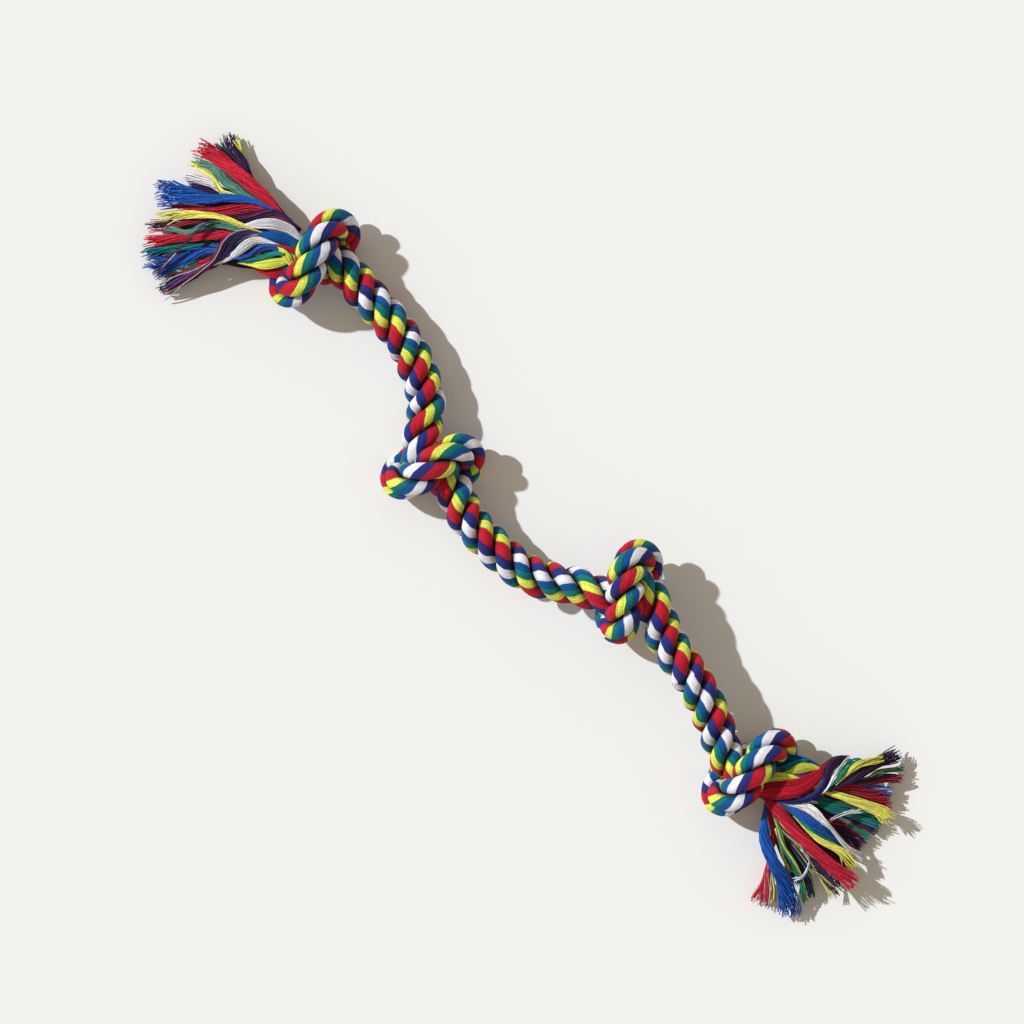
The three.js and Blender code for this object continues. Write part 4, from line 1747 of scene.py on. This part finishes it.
def second_tassel_locks() -> tuple[Lock, ...]:
    """Lists the locks of the tassel at the rope's end.

    Returns:
        The locks in order across the fan.
    """
    red, yellow, green = Yarn.RED, Yarn.YELLOW, Yarn.GREEN
    blue, white, plum = Yarn.BLUE, Yarn.WHITE, Yarn.PLUM
    return (
        Lock(
            plum, (), (23, 28, 18),
            (
                (232, 15, 1.5), (230, 17, 4), (227, 20, 5.5), (225, 24, 6), (225, 29, 6),
                (227, 33, 4.5), (232, 35, 3.5)
            ),
        ),
        Lock(
            green, (), (25, 28, 19),
            (
                (233, 14, 1), (232, 18, 2), (232, 24, 3.5), (231, 30, 4), (232, 36, 3.5),
                (234, 39, 2.5), (238, 40, 2)
            ),
        ),
        Lock(
            yellow, (), (25, 27, 18),
            (
                (234, 20, 1), (234, 25, 2), (234, 31, 3.5), (235, 37, 4.5), (239, 43, 4), (243, 49, 3)
            ),
        ),
        Lock(
            plum, (), (24, 23, 8),
            (
                (234, 15, 2), (235, 20, 3.5), (238, 29, 5.5), (240, 38, 7), (243, 47, 7), (248, 56, 8.5)
            ),
        ),
        Lock(
            blue, (white,), (17, 14, 9),
            (
                (236, 19, 1.5), (241, 25, 2), (246, 30, 2.5), (252, 34, 3.5), (260, 39, 5.5)
            ),
        ),
        Lock(
            red, (plum,), (20, 17, 8),
            (
                (229, 13, 2), (233, 16, 3), (238, 21, 4.5), (244, 26, 5.5), (252, 30, 7), (262, 36, 8.5)
            ),
        ),
        Lock(
            yellow, (), (22, 20, 15),
            (
                (228, 10, 2), (232, 13, 3), (238, 16, 4), (246, 20, 5), (254, 24, 6), (262, 27, 7.5),
                (270, 28, 10)
            ),
        ),
        Lock(
            green, (blue,), (18, 15, 8),
            (
                (225, 2, 3.5), (232, 6, 5), (239, 9, 7.5), (247, 13, 7), (255, 17, 6.5), (262, 20, 7),
                (268, 22, 7.5)
            ),
        ),
        Lock(
            plum, (), (14, 11, 7),
            (
                (241, 7, 2), (248, 10, 3), (254, 13, 3.5), (261, 15, 4.5), (270, 18, 5.5)
            ),
        ),
        Lock(
            plum, (red,), (15, 9, 6),
            (
                (237, 0, 3.5), (244, 3, 5), (250, 4, 6), (256, 6, 8.5), (263, 6, 9.5), (270, 6, 10)
            ),
        ),
        Lock(
            white, (), (22, 25, 12),
            (
                (219, -9, 1), (223, -6, 2), (227, -3, 4), (232, 0, 6), (238, 1, 5.5), (245, 1, 3.5),
                (251, 1, 2), (260, 0, 2.5), (267, 0, 4), (273, 1, 6)
            ),
        ),
        Lock(
            blue, (), (21, 24, 12),
            (
                (219, -9, 1), (224, -7, 2.5), (230, -6, 4), (237, -5, 5.5), (245, -3, 6.5),
                (252, -2, 5.5), (258, -2, 3), (264, -1, 3.5)
            ),
        ),
        Lock(
            yellow, (), (21, 22, 14),
            (
                (230, -9, 0.5), (237, -9, 1.5), (244, -9, 2.5), (251, -8, 3.5), (259, -5, 4.5),
                (266, -4, 6.5), (275, -6, 8)
            ),
        ),
        Lock(
            red, (), (23, 25, 20),
            (
                (211, -12, 3.5), (216, -13, 5), (224, -13, 7), (236, -14, 7), (248, -14, 6.5),
                (260, -14, 7), (270, -13, 8.5), (280, -12, 10.5)
            ),
        ),
        Lock(
            plum, (yellow,), (17, 17, 17),
            (
                (223, -16, 2), (233, -18, 4), (243, -18, 5.5), (256, -19, 7), (269, -19, 8.5),
                (278, -20, 10)
            ),
        ),
        Lock(
            green, (yellow,), (19, 16, 8),
            (
                (221, -16, 1.5), (228, -19, 2.5), (233, -22, 3.5), (239, -25, 3), (248, -27, 4),
                (256, -30, 4), (262, -33, 4), (269, -38, 5)
            ),
        ),
        Lock(
            blue, (), (20, 21, 7),
            (
                (213, -13, 2), (217, -18, 2), (221, -23, 4), (225, -27, 6), (231, -31, 7),
                (241, -35, 7.5), (252, -38, 9), (261, -43, 11), (268, -49, 12.5)
            ),
        ),
        Lock(
            red, (white,), (16, 12, 6),
            (
                (215, -15, 3), (221, -18, 3), (227, -21, 3.5), (232, -26, 3.5), (236, -32, 2.5),
                (240, -38, 2), (243, -42, 3.5), (248, -48, 7), (252, -56, 11.5)
            ),
        ),
        Lock(
            blue, (), (19, 22, 20),
            (
                (203, 3, 3), (204, 7, 4), (206, 12, 4.5), (210, 16, 3.5), (215, 19, 2), (220, 21, 1)
            ),
            solid=False, laid=True,
        ),
        Lock(
            green, (), (22, 25, 22),
            (
                (206, 1, 3), (207, 5, 3.5), (209, 10, 3.5), (211, 15, 3), (214, 19, 1.5)
            ),
            solid=False, laid=True,
        ),
        Lock(
            yellow, (), (23, 26, 23),
            (
                (208, 2, 1), (211, 7, 2.5), (213, 12, 5.5), (216, 16, 5), (220, 19, 3), (225, 20, 1)
            ),
            solid=False, laid=True,
        ),
        Lock(
            yellow, (), (25, 27, 25),
            (
                (205, -8, 4.5), (206, -3, 6), (209, 1, 5.5), (213, 5, 3.5), (217, 8, 1)
            ),
            solid=False, laid=True,
        ),
        Lock(
            red, (), (25.5, 27.5, 22),
            (
                (206, -14, 6), (209, -10, 9), (213, -5, 11), (219, 2, 10.5), (222, 9, 9), (223, 15, 7),
                (223, 20, 5.5), (223, 25, 3.5)
            ),
            solid=False, laid=True,
        ),
        Lock(
            plum, (), (23, 26, 26),
            (
                (211, -14, 1), (216, -10, 2), (223, -4, 3), (228, 3, 3.5), (230, 10, 3.5),
                (229, 16, 3), (226, 20, 1.5)
            ),
            solid=False, laid=True,
        ),
        Lock(
            white, (), (25, 28, 21),
            (
                (232, 11, 0.5), (232, 16, 1), (230, 22, 2.5), (229, 28, 3.5), (228, 33, 3),
                (229, 36, 1.5)
            ),
            solid=False,
        ),
        Lock(
            green, (yellow,), (15, 11, 7),
            (
                (241, 30, 1), (245, 36, 1.5), (247, 42, 2.5), (251, 47, 3), (256, 53, 4)
            ),
            solid=False,
        ),
        Lock(
            plum, (red,), (17, 13, 8),
            (
                (235, 19, 2), (239, 27, 3.5), (247, 35, 5), (252, 42, 5.5), (259, 48, 6.5)
            ),
            solid=False,
        ),
        Lock(
            red, (plum,), (22, 23, 23),
            (
                (215, 6, 2), (218, 10, 3.5), (220, 14, 3.5), (221, 20, 2)
            ),
            solid=False, laid=True,
        ),
        Lock(
            red, (plum,), (13, 10, 6),
            (
                (240, 19, 1.5), (245, 22, 2.5), (255, 27, 3.5), (266, 32, 5.5)
            ),
            solid=False,
        ),
        Lock(
            green, (yellow, white), (12, 9, 6),
            (
                (247, 8, 1.5), (253, 10, 2.5), (262, 11, 3), (270, 12, 5)
            ),
            solid=False,
        ),
        Lock(
            green, (), (21, 23, 17),
            (
                (226, -8, 0.5), (232, -8, 1), (240, -7, 3), (247, -6, 3.5), (253, -4, 2.5), (258, -3, 1)
            ),
            solid=False,
        ),
        Lock(
            yellow, (), (17, 14, 9),
            (
                (228, -21, 1), (234, -24, 1.5), (239, -27, 1.5), (245, -30, 1), (253, -32, 2)
            ),
            solid=False,
        ),
        Lock(
            plum, (green, yellow), (14, 11, 7),
            (
                (229, -19, 2), (238, -20, 3.5), (245, -22, 5), (255, -25, 6.5), (264, -30, 6.5),
                (270, -34, 7)
            ),
            solid=False,
        ),
        Lock(
            yellow, (), (9, 7, 5),
            (
                (243, -39, 1), (249, -43, 2), (253, -46, 2.5), (257, -51, 3)
            ),
            solid=False,
        ),
        Lock(
            white, (blue,), (20, 19, 13),
            (
                (244, -17, 1), (249, -19, 1.5), (254, -20, 1.5), (257, -25, 1.5), (258, -30, 1.5),
                (255, -35, 1.5)
            ),
            solid=False,
        ),
        Lock(
            white, (plum,), (21, 20, 18),
            (
                (246, 2, 1.5), (247, 7, 1.5), (250, 13, 2), (254, 20, 3)
            ),
            solid=False,
        ),
        Lock(
            yellow, (white,), (19, 17, 9),
            (
                (246, -19, 0.5), (254, -20, 1), (263, -22, 1), (278, -26, 1.5)
            ),
            solid=False,
        ),
        Lock(
            plum, (red, blue), (14, 12, 8),
            (
                (220, -13, 5.5), (230, -13, 8), (239, -12, 8.5), (251, -11, 8.5), (263, -10, 8.5),
                (272, -10, 8.5)
            ),
            solid=False,
        ),
        Lock(
            plum, (green, red), (14, 11, 7),
            (
                (225, -2, 6.5), (234, 2, 8.5), (243, 6, 9), (252, 8, 8.5), (262, 10, 8)
            ),
            solid=False,
        ),
        Lock(
            plum, (red,), (15, 12, 8),
            (
                (226, 6, 6.5), (234, 11, 7), (241, 18, 7), (249, 23, 6.5), (257, 29, 6)
            ),
            solid=False,
        ),
        Lock(
            plum, (green,), (11, 9, 6),
            (
                (218, -14, 4.5), (224, -18, 6), (232, -22, 7), (242, -26, 7), (252, -30, 8),
                (260, -33, 8)
            ),
            solid=False,
        ),
    )


@dataclass
class Studio:
    """The floor, the light and the camera, in metres and degrees."""

    frame_width: float = 0.5704
    picture_turn: float = 45.0
    lens: float = 180.0
    sensor: float = 36.0
    clip_end: float = 50.0
    rope_height: float = 0.014
    floor_size: float = 8.0
    floor_segments: int = 8
    sun_elevation: float = 42.5
    sun_bearing: float = -26.6
    sun_distance: float = 2.0
    sun_strength: float = 3.0
    sun_angle: float = 1.4
    sun_colour: tuple[float, float, float] = (0.92, 0.974, 1.0)
    sky: Colour = (0.371, 0.325, 0.263, 1.0)
    backdrop: Colour = (0.885, 0.877, 0.845, 1.0)

    def build(self) -> None:
        """Makes the floor, the sun, the sky and the camera."""
        self._floor()
        self._sun()
        self._sky()
        self._camera()

    def _floor(self) -> None:
        """Lays the floor."""
        bm = bmesh.new()
        count = self.floor_segments
        bmesh.ops.create_grid(bm, x_segments=count, y_segments=count, size=self.floor_size / 2)
        mesh = bpy.data.meshes.new("floor")
        bm.to_mesh(mesh)
        bm.free()
        mesh.materials.append(PaleFloor().material())
        floor = bpy.data.objects.new("floor", mesh)
        bpy.context.scene.collection.objects.link(floor)

    def _sun(self) -> None:
        """Hangs one key light with a soft edge, from the picture's left."""
        lamp = bpy.data.lights.new("key", "SUN")
        lamp.energy = self.sun_strength
        lamp.angle = math.radians(self.sun_angle)
        lamp.color = self.sun_colour
        key = bpy.data.objects.new("key", lamp)
        elevation = math.radians(self.sun_elevation)
        bearing = math.radians(self.picture_turn + self.sun_bearing)
        flat = math.cos(elevation)
        way = Vector((flat * math.cos(bearing), flat * math.sin(bearing), -math.sin(elevation)))
        key.rotation_mode = "QUATERNION"
        key.rotation_quaternion = way.to_track_quat("-Z", "Y")
        key.location = -self.sun_distance * way
        bpy.context.scene.collection.objects.link(key)

    def _sky(self) -> None:
        """Fills the shade with a warm soft light, and shows a pale backdrop to the camera."""
        world = bpy.data.worlds.new("sky")
        world.use_nodes = True
        tree = world.node_tree
        tree.nodes.clear()
        output = tree.nodes.new("ShaderNodeOutputWorld")
        fill = tree.nodes.new("ShaderNodeBackground")
        fill.inputs["Color"].default_value = self.sky
        seen = tree.nodes.new("ShaderNodeBackground")
        seen.inputs["Color"].default_value = self.backdrop
        path = tree.nodes.new("ShaderNodeLightPath")
        mix = tree.nodes.new("ShaderNodeMixShader")
        tree.links.new(path.outputs["Is Camera Ray"], mix.inputs[0])
        tree.links.new(fill.outputs[0], mix.inputs[1])
        tree.links.new(seen.outputs[0], mix.inputs[2])
        tree.links.new(mix.outputs[0], output.inputs[0])
        bpy.context.scene.world = world

    def _camera(self) -> None:
        """Looks straight down, turned so that the toy lies across the picture."""
        data = bpy.data.cameras.new("camera")
        data.lens = self.lens
        data.sensor_width = self.sensor
        data.clip_end = self.clip_end
        camera = bpy.data.objects.new("camera", data)
        distance = self.frame_width * self.lens / self.sensor
        camera.location = (*in_part(np.zeros(3))[:2], self.rope_height + distance)
        camera.rotation_euler = (0.0, 0.0, math.radians(self.picture_turn))
        bpy.context.scene.collection.objects.link(camera)
        bpy.context.scene.camera = camera


def main() -> None:
    """Builds the toy around its frame and reports each piece."""
    logging.basicConfig(level=logging.INFO, format="%(message)s")
    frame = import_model()
    bpy.context.scene.view_settings.view_transform = "Standard"
    joints = {joint["name"]: joint for joint in frame["joints"]}
    Studio().build()
    rope = LaidRope(RopeRoute(), LaidCotton())
    loose = LooseCotton().material()
    tassels = [Tassel(1, first_tassel_locks(), loose), Tassel(2, second_tassel_locks(), loose)]
    for assembly in (rope, *tassels):
        assembly.build(joints)
        for made in assembly.pieces:
            LOG.info("%s: %d faces", made.name, len(made.data.polygons))


if __name__ == "__main__":
    main()
